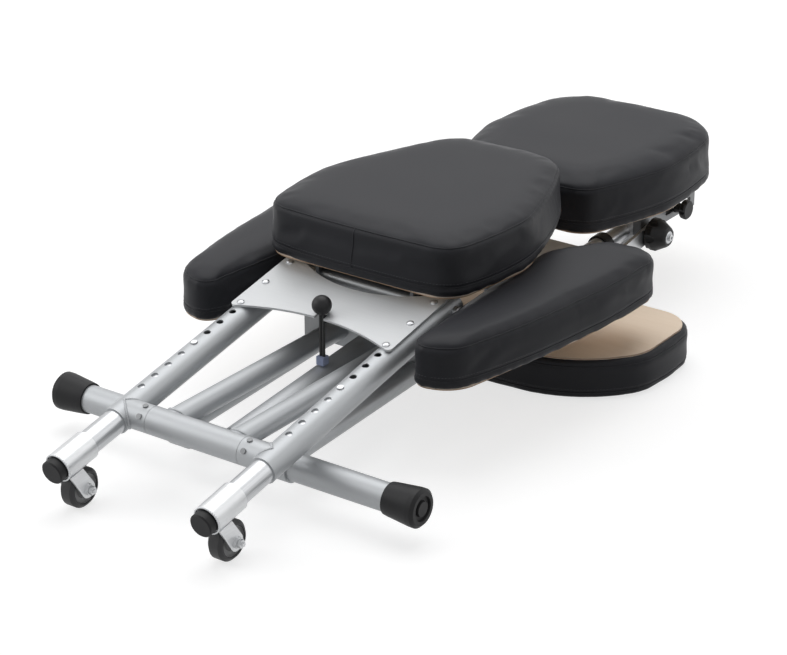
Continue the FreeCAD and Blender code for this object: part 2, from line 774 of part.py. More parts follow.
def make_seat():
    """Seat pad, board and the channel that turns on the pivot rod."""
    board("seat_board", SEAT_OUTLINE, dim.seat_board_low, dim.board_inset)
    cushion("seat_pad", SEAT_OUTLINE, dim.seat_board_low, dim.seat_lip, dim.seat_seam, dim.seat_crown)
    pivot = leg_point(0, dim.pivot_along)
    high = dim.seat_board_low
    web = block(
        "channel_web", "2 * channel_half", "channel_length", "channel_thick",
        at(-dim.channel_half, dim.channel_start, high - dim.channel_thick),
    )
    ears = []
    for side, sign in SIDES:
        x = dim.channel_half - dim.channel_thick if sign > 0 else -dim.channel_half
        ears.append(block(
            "channel_ear_" + side, "channel_thick", "channel_ear", "seat_board_low - channel_ear_low",
            at(x, dim.channel_start, dim.channel_ear_low),
        ))
    hole = rod(
        "channel_hole", "pivot_od + 2 * running_gap", "3 * channel_half",
        pivot - X_AXIS * dim.channel_half * 1.5, X_AXIS,
    )
    pivot_tube = rod(
        "channel_tube", "channel_tube_od", "2 * channel_half", pivot - X_AXIS * dim.channel_half, X_AXIS,
    )
    bush_seats = []
    for side, sign in SIDES:
        start = pivot + X_AXIS * sign * (dim.channel_half - dim.bush_length)
        bush_seats.append(rod("bush_seat_" + side, "bush_od", "bush_length", start, X_AXIS * sign))
    raw = fuse("channel_raw", [web, pivot_tube] + ears)
    node(cut("channel", raw, [hole] + bush_seats), "seat_channel")
    bushes = []
    for side, sign in SIDES:
        start = pivot + X_AXIS * sign * (dim.channel_half - dim.bush_length)
        bushes.append(tube(
            "bush_" + side, "bush_od", "pivot_od + 2 * running_gap", "bush_length", start, X_AXIS * sign,
        ))
    group("channel_bushes", bushes)


def make_rails():
    """Rails that turn on the foot bar, with collars, end rings and a cross plate."""
    collar_tool_start = at(-dim.foot_half, dim.foot_y, dim.foot_z)
    rail_length = "(rail_end - foot_y) / cos(rail_angle * 1 deg)"
    rings = []
    for side, sign in SIDES:
        x = sign * dim.rail_half
        name = "rail_" + side
        start = at(x, dim.foot_y, rail_z(dim.foot_y))
        skin = rod(name + "_skin", "rail_od", rail_length, start, RAIL_DIR)
        core = rod(name + "_core", "rail_bore", rail_length, start, RAIL_DIR)
        collar = rod(
            name + "_collar", "rail_collar_od", "rail_collar_width",
            at(x - dim.rail_collar_width / 2, dim.foot_y, dim.foot_z), X_AXIS,
        )
        bar_tool = rod(
            name + "_bar_tool", "foot_od + 2 * running_gap", "2 * foot_half", collar_tool_start, X_AXIS,
        )
        open_rail = cut(name + "_open", skin, [core])
        node(cut(name, fuse(name + "_raw", [open_rail, collar]), [bar_tool]), name)
        ring_start = start + RAIL_DIR * ((dim.rail_end - dim.foot_y) / RAIL_DIR.y)
        rings.append(tube(
            name + "_ring", "rail_ring_od", "inner_rail_od + 4 * running_gap", "rail_ring_length",
            ring_start, RAIL_DIR,
        ))
    group("rail_rings", rings)

    mid = dim.cross_plate_y + dim.cross_plate_length / 2
    turn = Rotation(X_AXIS, dim.rail_angle)
    low = at(-dim.cross_plate_half, mid, rail_z(mid))
    low += Vector(0, -RAIL_DIR.z, RAIL_DIR.y) * dim.rail_od / 2 - RAIL_DIR * dim.cross_plate_length / 2
    node(
        block("cross_block", "2 * cross_plate_half", "cross_plate_length", "cross_plate_thick", low, turn),
        "cross_plate",
    )
    up = Vector(0, -RAIL_DIR.z, RAIL_DIR.y)
    rivets = []
    for side, sign in SIDES:
        for along in (dim.cross_rivet_inset, dim.cross_plate_length - dim.cross_rivet_inset):
            place = low + RAIL_DIR * along + up * dim.cross_plate_thick
            place.x = sign * dim.rail_half
            label = "cross_rivet_%s_%d" % (side, along)
            rivets.append(rod(label, "rivet_diameter", "rivet_rise", place, up))
    group("cross_rivets", rivets)


def make_knee_pads():
    """Knee pads on boards, carried by brackets on the rails."""
    bars = []
    for side, sign in SIDES:
        corners = [(sign * x, y, radius) for x, y, radius in KNEE_OUTLINE]
        board("knee_board_" + side, corners, dim.knee_board_low, dim.board_inset)
        cushion("knee_pad_" + side, corners, dim.knee_board_low, dim.pad_lip, dim.knee_seam, dim.knee_crown)
        rail_tool_start = at(sign * dim.rail_half, dim.foot_y, rail_z(dim.foot_y))
        for label, forward in (("rear", dim.knee_bracket_rear), ("front", dim.knee_bracket_front)):
            name = "knee_bar_%s_%s" % (label, side)
            inner = dim.rail_half - dim.rail_od / 2
            x = inner if sign > 0 else -dim.knee_bracket_outer
            bottom = rail_z(forward) + dim.rail_od * 0.25
            bar = block(
                name + "_block", "knee_bracket_outer - rail_half + rail_od / 2", "knee_bracket_width",
                "knee_board_low - %f" % bottom, at(x, forward - dim.knee_bracket_width / 2, bottom),
            )
            rail_tool = rod(name + "_rail", "rail_od", "rail_end - foot_y", rail_tool_start, RAIL_DIR)
            lower_x = dim.rail_half + dim.rail_od / 2 if sign > 0 else -dim.knee_bracket_outer
            relief = block(
                name + "_relief", "knee_bracket_outer - rail_half - rail_od / 2", "2 * knee_bracket_width",
                "knee_board_low - knee_bracket_thick - %f" % bottom,
                at(lower_x, forward - dim.knee_bracket_width, bottom),
            )
            bars.append(cut(name, bar, [rail_tool, relief]))
    group("knee_brackets", bars)


def make_carrier():
    """Inner rails with clamp blocks, slotted bars and armrest studs."""
    blocks = []
    slides = []
    studs = []
    pivot_y = dim.arm_pivot_y
    for side, sign in SIDES:
        x = sign * dim.rail_half
        start = at(x, dim.inner_rail_start, rail_z(dim.inner_rail_start))
        length = "(inner_rail_end - inner_rail_start) / cos(rail_angle * 1 deg)"
        name = "inner_rail_" + side
        node(tube(name, "inner_rail_od", "inner_rail_bore", length, start, RAIL_DIR), name)
        raw = block(
            "block_raw_" + side, "block_width", "block_length", "block_high - block_low",
            at(x - dim.block_width / 2, pivot_y - dim.block_length / 2, dim.block_low),
        )
        rail_tool = rod("block_rail_" + side, "inner_rail_od", length, start, RAIL_DIR)
        stud_start = at(sign * dim.rail_half, pivot_y, dim.arm_pivot_z)
        stud_reach = (
            "slide_bar_half + slide_bar_thick + arm_bar_thick + 3 * plate_gap - rail_half"
            " + big_knob_length * knob_bore_share - knob_bolt_gap"
        )
        stud_tool = rod("block_stud_" + side, "stud_diameter", stud_reach, stud_start, X_AXIS * sign)
        blocks.append(cut("clamp_block_" + side, raw, [rail_tool, stud_tool]))

        bar_x = dim.slide_bar_half if sign > 0 else -dim.slide_bar_half - dim.slide_bar_thick
        bar = block(
            "slide_raw_" + side, "slide_bar_thick", "slide_bar_length", "slide_bar_height",
            at(bar_x, pivot_y - dim.block_length / 2, dim.knob_bolt_z - dim.slide_bar_height / 2),
        )
        slot_tools = [block(
            "slot_run_" + side, "3 * slide_bar_thick", "slot_end - slot_start", "slot_height",
            at(bar_x - dim.slide_bar_thick, dim.slot_start, dim.knob_bolt_z - dim.slot_height / 2),
        )]
        for forward in (dim.slot_start, dim.slot_end):
            slot_tools.append(rod(
                "slot_end_%s_%d" % (side, forward), "slot_height", "3 * slide_bar_thick",
                at(bar_x - dim.slide_bar_thick, forward, dim.knob_bolt_z), X_AXIS,
            ))
        spacer_x = dim.rail_half + dim.block_width / 2 if sign > 0 else -dim.slide_bar_half
        spacer = block(
            "spacer_" + side, "slide_bar_half - rail_half - block_width / 2", "block_length",
            "slide_bar_height", at(spacer_x, pivot_y - dim.block_length / 2,
                                   dim.knob_bolt_z - dim.slide_bar_height / 2),
        )
        stud_hole = rod("slide_stud_" + side, "stud_diameter", stud_reach, stud_start, X_AXIS * sign)
        slide = fuse("slide_fused_" + side, [bar, spacer])
        slides.append(cut("slide_bar_" + side, slide, slot_tools + [stud_hole]))
        stud_skin = rod("stud_" + side, "stud_diameter", stud_reach, stud_start, X_AXIS * sign)
        inner_tool = rod("stud_rail_" + side, "inner_rail_od", length, start, RAIL_DIR)
        studs.append(cut("arm_stud_" + side, stud_skin, [inner_tool]))
    group("clamp_blocks", blocks)
    group("slide_bars", slides)
    group("arm_studs", studs)
    node(
        block(
            "carrier_block", "2 * rail_half - block_width", "block_length", "carrier_bar_thick",
            at(-dim.rail_half + dim.block_width / 2, pivot_y - dim.block_length / 2,
               dim.block_high - dim.carrier_bar_thick),
        ),
        "carrier_bar",
    )


def make_chest():
    """Chest pad, board and the brackets that hang in the slotted bars."""
    board("chest_board", CHEST_OUTLINE, dim.chest_board_low, dim.board_inset)
    cushion("chest_pad", CHEST_OUTLINE, dim.chest_board_low, dim.pad_lip, dim.chest_seam, dim.chest_crown)
    brackets = []
    thick = dim.slide_bar_thick
    for side, sign in SIDES:
        face = dim.slide_bar_half - dim.plate_gap
        x = face - thick if sign > 0 else -face
        low = dim.knob_bolt_z - dim.slide_bar_height / 2
        leaf = block(
            "bracket_leaf_" + side, "slide_bar_thick", "slide_bar_height + 14",
            "chest_board_low - %f" % low,
            at(x, dim.knob_bolt_y - dim.slide_bar_height / 2 - 7, low),
        )
        flange_x = face - 6 * thick if sign > 0 else -face
        flange = block(
            "bracket_flange_" + side, "6 * slide_bar_thick", "slide_bar_height + 14", "slide_bar_thick",
            at(flange_x, dim.knob_bolt_y - dim.slide_bar_height / 2 - 7, dim.chest_board_low - thick),
        )
        stud = rod(
            "bracket_stud_" + side, "knob_bolt_diameter",
            "2 * slide_bar_thick + 2 * plate_gap + small_knob_length * knob_bore_share - knob_bolt_gap",
            at(sign * (face - thick), dim.knob_bolt_y, dim.knob_bolt_z), X_AXIS * sign,
        )
        brackets.append(fuse("bracket_" + side, [leaf, flange, stud]))
    group("chest_brackets", brackets)


def knob(name, profile, lobe_reach, lobe_cut, lobe_length, place, sign):
    """A hand knob turned to a profile, with finger scallops cut into its rim."""
    head = turned(name + "_head", profile, place, X_AXIS * sign)
    scallops = []
    for index in range(int(dim.knob_lobes)):
        angle = 2 * math.pi * index / dim.knob_lobes
        offset = Vector(0, lobe_reach * math.cos(angle), lobe_reach * math.sin(angle))
        tool = doc.addObject("Part::Cylinder", "%s_scallop_%d" % (name, index))
        tool.Radius = lobe_cut
        tool.Height = lobe_length
        tool.Placement = Placement(place + offset, Rotation(Vector(0, 0, 1), X_AXIS * sign))
        scallops.append(tool)
    return cut(name + "_lobed", head, scallops)


def make_knobs():
    """Clamp knobs on the armrest studs and slide knobs on the chest brackets."""
    stud_end = dim.slide_bar_half + dim.slide_bar_thick + dim.arm_bar_thick + 3 * dim.plate_gap
    bar_face = dim.slide_bar_half + dim.slide_bar_thick + dim.plate_gap
    big_bore = dim.stud_diameter / 2 + dim.running_gap
    small_bore = dim.knob_bolt_diameter / 2 + dim.running_gap
    big = dim.big_knob_diameter / 2
    big_length = dim.big_knob_length
    small = dim.small_knob_diameter / 2
    small_length = dim.small_knob_length
    for side, sign in SIDES:
        name = "clamp_knob_" + side
        profile = [
            (0, big_bore), (0, big * 0.80), (big_length * 0.12, big), (big_length * 0.40, big),
            (big_length * 0.92, big * 0.62), (big_length, big * 0.52), (big_length, big * 0.40),
            (big_length * 0.94, big * 0.40), (big_length * 0.94, 0),
            (big_length * dim.knob_bore_share, 0), (big_length * dim.knob_bore_share, big_bore),
        ]
        place = at(sign * stud_end, dim.arm_pivot_y, dim.arm_pivot_z)
        node(knob(name, profile, big * 1.22, big * 0.36, big_length * 0.8, place, sign), name)
        name = "slide_knob_" + side
        profile = [
            (0, small_bore), (0, small * 0.55), (small_length * 0.45, small * 0.45),
            (small_length * 0.55, small * 0.9), (small_length * 0.65, small), (small_length * 0.9, small),
            (small_length, small * 0.85), (small_length, 0),
            (small_length * dim.knob_bore_share, 0), (small_length * dim.knob_bore_share, small_bore),
        ]
        place = at(sign * bar_face, dim.knob_bolt_y, dim.knob_bolt_z)
        node(knob(name, profile, small * 1.22, small * 0.34, small_length, place, sign), name)


def make_armrest():
    """Armrest, folded under with its board up, on bars from the studs."""
    board("armrest_board", ARMREST_OUTLINE, dim.armrest_high - dim.board_thick, dim.armrest_rim)
    armrest_cushion("armrest_pad", ARMREST_OUTLINE)
    arms = []
    x_inner = dim.slide_bar_half + dim.slide_bar_thick + 2 * dim.plate_gap
    foot_mid = dim.arm_foot_y + dim.arm_foot_length / 2
    lower = (foot_mid, dim.armrest_high + dim.arm_bar_width / 2)
    upper = (dim.arm_pivot_y, dim.arm_pivot_z)
    run = math.hypot(upper[0] - lower[0], upper[1] - lower[1])
    slope = math.degrees(math.atan2(upper[1] - lower[1], upper[0] - lower[0]))
    for side, sign in SIDES:
        x = x_inner if sign > 0 else -x_inner - dim.arm_bar_thick
        half = dim.arm_bar_width / 2
        turn = Rotation(X_AXIS, slope)
        corner = at(x, lower[0], lower[1]) + turn.multVec(Vector(0, 0, -half))
        bar = block("arm_run_" + side, "arm_bar_thick", "%f" % run, "arm_bar_width", corner, turn)
        ends = []
        for forward, height in (lower, upper):
            ends.append(rod("arm_end_%s_%d" % (side, forward), "arm_bar_width", "arm_bar_thick",
                            at(x, forward, height), X_AXIS))
        foot_x = x if sign > 0 else x - 5 * dim.arm_bar_thick + dim.arm_bar_thick
        foot = block("arm_foot_" + side, "5 * arm_bar_thick", "arm_foot_length", "arm_foot_thick",
                     at(foot_x, dim.arm_foot_y - dim.arm_foot_length / 2, dim.armrest_high))
        ear = block("arm_ear_" + side, "arm_bar_thick", "arm_foot_length", "arm_bar_width / 2",
                    at(x, dim.arm_foot_y - dim.arm_foot_length / 2, dim.armrest_high))
        stud_hole = rod("arm_stud_hole_" + side, "stud_diameter + 2 * running_gap", "3 * arm_bar_thick",
                        at(x - dim.arm_bar_thick, *upper), X_AXIS)
        arms.append(cut("arm_" + side, fuse("arm_raw_" + side, [bar, foot, ear] + ends), [stud_hole]))
    group("armrest_arms", arms)


dim.knob_bolt_z = dim.block_high - dim.slide_bar_height / 2

make_foot_bar()
make_floor_frame()
make_leg_frame()
make_leg_plate()
make_bungee()
make_lower_legs()
make_seat()
make_rails()
make_knee_pads()
make_carrier()
make_chest()
make_knobs()
make_armrest()
doc.recompute()

for obj in doc.Objects:
    if "Invalid" in obj.State or "Error" in obj.State:
        raise RuntimeError("failed object: " + obj.Name)
os.makedirs("parts", exist_ok=True)
for obj in NODES:
    if obj.Shape.isNull() or not obj.Shape.isValid():
        raise RuntimeError("bad shape: " + obj.Label)
    obj.Shape.exportStep("parts/%s.step" % obj.Label)
box = FreeCAD.BoundBox()
for obj in NODES:
    box.add(obj.Shape.BoundBox)
print("sub-parts", len(NODES))
print("box", [round(v, 2) for v in (box.XMin, box.XMax, box.YMin, box.YMax, box.ZMin, box.ZMax)])
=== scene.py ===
import math
from collections import namedtuple

import bmesh
import bpy
from mathutils import Matrix, Vector
from mathutils.bvhtree import BVHTree


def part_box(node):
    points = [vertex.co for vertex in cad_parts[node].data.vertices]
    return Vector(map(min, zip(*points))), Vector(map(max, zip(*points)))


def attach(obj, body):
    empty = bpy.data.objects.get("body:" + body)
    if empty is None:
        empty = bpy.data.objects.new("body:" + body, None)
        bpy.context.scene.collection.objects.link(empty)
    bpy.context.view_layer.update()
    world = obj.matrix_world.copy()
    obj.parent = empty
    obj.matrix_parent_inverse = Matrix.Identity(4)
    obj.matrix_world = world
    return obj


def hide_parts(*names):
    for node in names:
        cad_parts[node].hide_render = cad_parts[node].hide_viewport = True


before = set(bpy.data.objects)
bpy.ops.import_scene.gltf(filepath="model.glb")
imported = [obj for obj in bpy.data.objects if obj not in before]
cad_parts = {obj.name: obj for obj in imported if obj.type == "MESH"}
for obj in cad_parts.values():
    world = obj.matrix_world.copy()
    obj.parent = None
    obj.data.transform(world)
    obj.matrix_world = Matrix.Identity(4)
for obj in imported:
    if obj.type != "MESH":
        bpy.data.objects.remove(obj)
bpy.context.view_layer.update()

bl_info = {
    "name": "Folding massage chair",
    "version": (1, 0, 0),
    "blender": (4, 5, 0),
    "location": "3D View > Sidebar > Chair",
    "description": "Dresses a folded massage chair with pads, finishes, welds and stitching",
    "category": "Object",
}

# Lengths are metres. Outlines, heights and distances from the leg caps are millimetres

MM = 0.001
FORWARD = 0.573145
LEG_TILT = math.radians(11.2)
RAIL_TILT = math.radians(2.75)
LEG_X = 0.1106
LEG_CAP_HEIGHT = 0.060369
LEG_DIR = Vector((0, math.cos(LEG_TILT), math.sin(LEG_TILT)))
LEG_UP = Vector((0, -math.sin(LEG_TILT), math.cos(LEG_TILT)))
X_AXIS = Vector((1, 0, 0))
Y_AXIS = Vector((0, 1, 0))
Z_AXIS = Vector((0, 0, 1))
AXLE_ALONG = 37.6
AXLE_DROP = 43.5
HINGE_ALONG = 136.2
SIDES = (("left", -1), ("right", 1))
FINISHES = {}


def at(x, forward, height):
    """A point from millimetres, measured forward from the leg caps."""
    return Vector((x * MM, forward * MM - FORWARD, height * MM))


def leg_point(x, along, up=0.0):
    """A point in the legs' tilted plane, from metres across and millimetres along."""
    return Vector((x, -FORWARD, LEG_CAP_HEIGHT)) + LEG_DIR * along * MM + LEG_UP * up * MM


# User settings

class PadSettings(bpy.types.PropertyGroup):
    """How the pads are stuffed and sewn."""
    voxel: bpy.props.FloatProperty(
        name="Voxel", description="Size of the grid that the pads are remade on",
        default=0.0045, unit="LENGTH")
    pressure: bpy.props.FloatProperty(
        name="Pressure", description="How hard the stuffing pushes", default=4.0)
    swell: bpy.props.FloatProperty(
        name="Swell", description="Furthest that the cover may move", default=0.0025, unit="LENGTH")
    welt: bpy.props.FloatProperty(
        name="Welt radius", description="Thickness of the seam's raised edge", default=0.0009, unit="LENGTH")
    stitch_pitch: bpy.props.FloatProperty(
        name="Stitch pitch", description="Distance between stitches", default=0.0042, unit="LENGTH")


class FinishSettings(bpy.types.PropertyGroup):
    """Main colours of the chair."""
    paint: bpy.props.FloatVectorProperty(
        name="Frame paint", description="Powder coat on the frame tubes", subtype="COLOR", size=3,
        default=(0.47, 0.485, 0.50))
    leather: bpy.props.FloatVectorProperty(
        name="Leatherette", description="Cover of the pads", subtype="COLOR", size=3,
        default=(0.0225, 0.023, 0.0265))
    plywood: bpy.props.FloatVectorProperty(
        name="Plywood", description="Face of the birch boards", subtype="COLOR", size=3,
        default=(0.94, 0.80, 0.66))
    rubber: bpy.props.FloatVectorProperty(
        name="Rubber", description="Tips, caps and tyres", subtype="COLOR", size=3,
        default=(0.011, 0.011, 0.012))


class StageSettings(bpy.types.PropertyGroup):
    """Floor and lamps."""
    floor: bpy.props.FloatProperty(
        name="Floor", description="Side of the floor", default=30.0, unit="LENGTH")
    top_lamp: bpy.props.FloatProperty(
        name="Top lamp", description="Power of the overhead softbox", default=44.0, unit="POWER")
    key_lamp: bpy.props.FloatProperty(
        name="Key lamp", description="Power of the side softbox", default=28.0, unit="POWER")


# Materials

class Wire:
    """A node socket that takes part in Python expressions."""

    def __init__(self, nodes, socket):
        self.nodes = nodes
        self.socket = socket

    def __add__(self, other):
        return self.nodes.maths("ADD", self, other)

    def __mul__(self, other):
        return self.nodes.maths("MULTIPLY", self, other)

    def __truediv__(self, other):
        return self.nodes.maths("DIVIDE", self, other)

    def __gt__(self, other):
        return self.nodes.maths("GREATER_THAN", self, other)


class Nodes:
    """Fills one node tree from expressions."""

    def __init__(self, tree, output):
        self.tree = tree
        self.output = output
        self.tree.nodes.clear()

    def node(self, kind, settings=None, inputs=None, out=0):
        """Add a node with its settings and the values or links of its sockets."""
        node = self.tree.nodes.new(kind)
        for key, value in (settings or {}).items():
            if key == "stops":
                ramp = node.color_ramp.elements
                for element, (place, colour) in zip(ramp, value):
                    element.position = place
                    element.color = (*colour, 1)
            else:
                setattr(node, key, value)
        for key, value in (inputs or {}).items():
            if isinstance(value, Wire):
                self.tree.links.new(value.socket, node.inputs[key])
            else:
                node.inputs[key].default_value = value
        return Wire(self, node.outputs[out])

    def maths(self, operation, first, second=0.0):
        """One sum."""
        return self.node("ShaderNodeMath", {"operation": operation}, {0: first, 1: second})

    def vector(self, operation, inputs, out=0):
        """One sum on vectors."""
        return self.node("ShaderNodeVectorMath", {"operation": operation}, inputs, out)

    def seen(self):
        """1 on rays that show the stage and 0 on rays that only light the chair."""
        rays = self.node("ShaderNodeLightPath", out="Is Camera Ray")
        for kind in ("Is Glossy Ray", "Is Transmission Ray"):
            rays = rays + self.node("ShaderNodeLightPath", out=kind)
        return self.maths("MINIMUM", rays, 1.0)

    def finish(self, shader):
        """Join a shader to the tree's output."""
        output = self.tree.nodes.new(self.output)
        self.tree.links.new(shader.socket, output.inputs["Surface"])


class Shade(Nodes):
    """Builds one material from nodes and expressions."""

    def __init__(self, name):
        self.material = bpy.data.materials.new(name)
        self.material.use_nodes = True
        super().__init__(self.material.node_tree, "ShaderNodeOutputMaterial")
        self.position = self.node("ShaderNodeTexCoord", out="Object")

    def mapped(self, scale, turn=(0, 0, 0)):
        """Object coordinates, turned then stretched."""
        turned = self.node("ShaderNodeMapping", None, {"Vector": self.position, "Rotation": turn})
        return self.node("ShaderNodeMapping", None, {"Vector": turned, "Scale": scale})

    def noise(self, scale, vector=None, detail=3.0, roughness=0.5):
        """Soft noise from 0 to 1."""
        inputs = {"Scale": scale, "Detail": detail, "Roughness": roughness}
        inputs["Vector"] = vector or self.position
        return self.node("ShaderNodeTexNoise", None, inputs)

    def mix(self, factor, first, second):
        """Blend two colours."""
        sockets = {0: factor, 6: first, 7: second}
        return self.node("ShaderNodeMix", {"data_type": "RGBA"}, sockets, out=2)

    def bump(self, height, strength, distance):
        """A bumpy surface from a height."""
        inputs = {"Height": height, "Strength": strength, "Distance": distance}
        return self.node("ShaderNodeBump", None, inputs)

    def surface(self, inputs):
        """The finished surface."""
        self.finish(self.node("ShaderNodeBsdfPrincipled", None, inputs))
        return self.material


def rgba(colour, gain=1.0):
    """A colour with its alpha."""
    return (colour[0] * gain, colour[1] * gain, colour[2] * gain, 1)


def frame_paint(colour):
    """Satin silver powder coat with a faint fleck and orange peel."""
    shade = Shade("frame_paint")
    fleck = shade.noise(2600, detail=1)
    cloud = shade.noise(14, detail=4)
    tone = shade.mix(fleck * 0.55 + cloud * 0.3, rgba(colour, 0.86), rgba(colour, 1.14))
    peel = shade.noise(900, detail=2)
    return shade.surface({
        "Base Color": tone, "Metallic": 0.5, "Roughness": cloud * 0.10 + fleck * 0.06 + 0.40,
        "Normal": shade.bump(peel, 0.05, 0.0004), "Coat Weight": 0.08, "Coat Roughness": 0.30,
    })


def polished_steel(turn):
    """Bright drawn tube with fine lines along its length."""
    shade = Shade("polished_steel_%d" % round(math.degrees(turn) * 10))
    drawn = shade.noise(1, shade.mapped((900, 9, 900), (-turn, 0, 0)), detail=2)
    smudge = shade.noise(22, detail=4)
    tone = shade.mix(drawn, (0.38, 0.39, 0.405, 1), (0.60, 0.61, 0.62, 1))
    return shade.surface({
        "Base Color": tone, "Metallic": 1.0, "Roughness": drawn * 0.08 + smudge * 0.10 + 0.24,
        "Normal": shade.bump(drawn, 0.06, 0.0003),
    })


def zinc_steel(name, colour, metallic=0.92):
    """Plated flat stock with rolled streaks and dulled patches."""
    shade = Shade(name)
    streak = shade.noise(1, shade.mapped((420, 26, 420)), detail=3)
    patch = shade.noise(36, detail=5)
    tone = shade.mix(patch * 0.6 + streak * 0.4, rgba(colour, 0.74), rgba(colour, 1.16))
    return shade.surface({
        "Base Color": tone, "Metallic": metallic, "Roughness": patch * 0.16 + streak * 0.10 + 0.22,
        "Normal": shade.bump(streak, 0.08, 0.0003),
    })


def bare_plate():
    """Clear satin finish on the flat plate, with a fine cross grain."""
    shade = Shade("bare_plate")
    grain = shade.noise(1, shade.mapped((30, 1400, 1400), (-LEG_TILT, 0, 0)), detail=2)
    cloud = shade.noise(11, detail=3)
    tone = shade.mix(grain * 0.5 + cloud * 0.4, (0.60, 0.615, 0.625, 1), (0.74, 0.75, 0.76, 1))
    return shade.surface({
        "Base Color": tone, "Metallic": 0.30, "Roughness": grain * 0.10 + cloud * 0.08 + 0.42,
        "Normal": shade.bump(grain, 0.05, 0.0002),
    })


def moulded(name, colour, roughness, texture):
    """Moulded rubber or plastic with a spark-eroded texture and dusty patches."""
    shade = Shade(name)
    skin = shade.noise(texture, detail=2)
    dust = shade.noise(30, detail=5)
    worn = shade.node("ShaderNodeValToRGB", {"stops": [(0.52, (0, 0, 0)), (0.80, (1, 1, 1))]}, {0: dust})
    tone = shade.mix(worn * 0.5 + skin * 0.12, rgba(colour), rgba(colour, 2.2))
    return shade.surface({
        "Base Color": tone, "Roughness": worn * 0.14 + skin * 0.08 + roughness,
        "Normal": shade.bump(skin, 0.16, 0.0004), "Specular IOR Level": 0.26,
    })


def castor_wheel(centre, rubber):
    """Black tyre on a grey hub, told apart by distance from the axle."""
    shade = Shade("castor_wheel_%s" % ("left" if centre.x < 0 else "right"))
    hub_radius = 0.0186
    offset = shade.vector("SUBTRACT", {0: shade.position, 1: centre})
    flat = shade.vector("MULTIPLY", {0: offset, 1: (0, 1, 1)})
    tyre = shade.vector("LENGTH", {0: flat}, out="Value") > hub_radius
    dust = shade.noise(90, detail=4)
    black = shade.mix(dust, rgba(rubber), rgba(rubber, 2.0))
    grey = shade.mix(dust, (0.30, 0.30, 0.30, 1), (0.42, 0.42, 0.42, 1))
    return shade.surface({
        "Base Color": shade.mix(tyre, grey, black), "Roughness": tyre * 0.12 + dust * 0.12 + 0.34,
        "Normal": shade.bump(shade.noise(700), 0.08, 0.0004),
    })


def birch_plywood(colour):
    """Sanded birch: long grain on the faces, stacked plies on the edges."""
    shade = Shade("birch_plywood")
    red, green, blue = colour
    ply_thickness = 0.0015
    figure = shade.noise(1, shade.mapped((5, 60, 20)), detail=6, roughness=0.62)
    pores = shade.noise(1, shade.mapped((70, 1500, 900)), detail=2)
    cloud = shade.noise(7, detail=3)
    dark_grain = rgba((red, green * 0.93, blue * 0.82), 0.88)
    face = shade.mix(figure * 0.6 + pores * 0.25, rgba(colour, 1.10), dark_grain)
    height = shade.node("ShaderNodeSeparateXYZ", None, {0: shade.position}, out="Z")
    ply = shade.maths("PINGPONG", height, ply_thickness) / ply_thickness
    dark_ply = rgba((red, green * 0.78, blue * 0.62), 0.62)
    edge = shade.mix(ply > 0.5, rgba(colour, 0.92), dark_ply)
    normal = shade.node("ShaderNodeNewGeometry", out="True Normal")
    up = shade.node("ShaderNodeSeparateXYZ", None, {0: normal}, out="Z")
    level = shade.maths("ABSOLUTE", up) > 0.5
    return shade.surface({
        "Base Color": shade.mix(level, edge, face), "Roughness": figure * 0.14 + cloud * 0.10 + 0.42,
        "Normal": shade.bump(pores + figure * 0.5, 0.10, 0.0004),
    })


def leatherette(colour):
    """Black grained upholstery with a soft sheen and slight rub marks."""
    shade = Shade("leatherette")
    cells = shade.node("ShaderNodeTexVoronoi", {"feature": "DISTANCE_TO_EDGE"},
                       {"Vector": shade.position, "Scale": 620.0}, out="Distance")
    pebble = shade.noise(900, detail=3)
    rub = shade.noise(9, detail=4)
    grain = cells * 2.4 + pebble * 0.5
    tone = shade.mix(rub * 0.7 + pebble * 0.3, rgba(colour, 0.80), rgba(colour, 1.45))
    return shade.surface({
        "Base Color": tone, "Roughness": rub * 0.12 + pebble * 0.06 + 0.36,
        "Normal": shade.bump(grain, 0.10, 0.0005), "Specular IOR Level": 0.14,
    })


def thread(colour):
    """Twisted sewing thread."""
    shade = Shade("thread")
    twist = shade.noise(2200, detail=2)
    tone = shade.mix(twist, rgba(colour, 1.4), rgba(colour, 3.0))
    return shade.surface({"Base Color": tone, "Roughness": twist * 0.2 + 0.5})


def braided_cord():
    """Black elastic braid."""
    shade = Shade("braided_cord")
    across = shade.node("ShaderNodeTexWave", {"bands_direction": "DIAGONAL"},
                        {"Vector": shade.position, "Scale": 260.0})
    fuzz = shade.noise(1800, detail=2)
    tone = shade.mix(across * 0.7 + fuzz * 0.3, (0.008, 0.008, 0.008, 1), (0.05, 0.05, 0.05, 1))
    return shade.surface({
        "Base Color": tone, "Roughness": fuzz * 0.2 + 0.62, "Normal": shade.bump(across, 0.4, 0.0005),
    })


def floor_paper():
    """White paper that stays white to the eye and keeps a soft shadow."""
    shade = Shade("floor_paper")
    near = 0.9
    far = 2.6
    tone = shade.mix(shade.noise(40, detail=3), (0.45, 0.45, 0.45, 1), (0.47, 0.47, 0.47, 1))
    paper = shade.node("ShaderNodeBsdfDiffuse", None, {"Color": tone})
    away = shade.vector("LENGTH", {0: shade.position}, out="Value")
    fade = shade.node("ShaderNodeMapRange", None, {"Value": away, "From Min": near, "From Max": far},
                      out="Result")
    glow = shade.mix(fade, (0.72, 0.72, 0.72, 1), (1, 1, 1, 1))
    white = shade.node("ShaderNodeEmission", None, {"Color": shade.mix(shade.seen(), (0, 0, 0, 1), glow)})
    shade.finish(shade.node("ShaderNodeAddShader", None, {0: paper, 1: white}))
    return shade.material


# Mesh helpers

def piece(name, mesh, material, body):
    """A finished mesh as an object that rides on a body."""
    obj = bpy.data.objects.new(name, mesh)
    bpy.context.scene.collection.objects.link(obj)
    mesh.materials.clear()
    mesh.materials.append(material)
    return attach(obj, body)


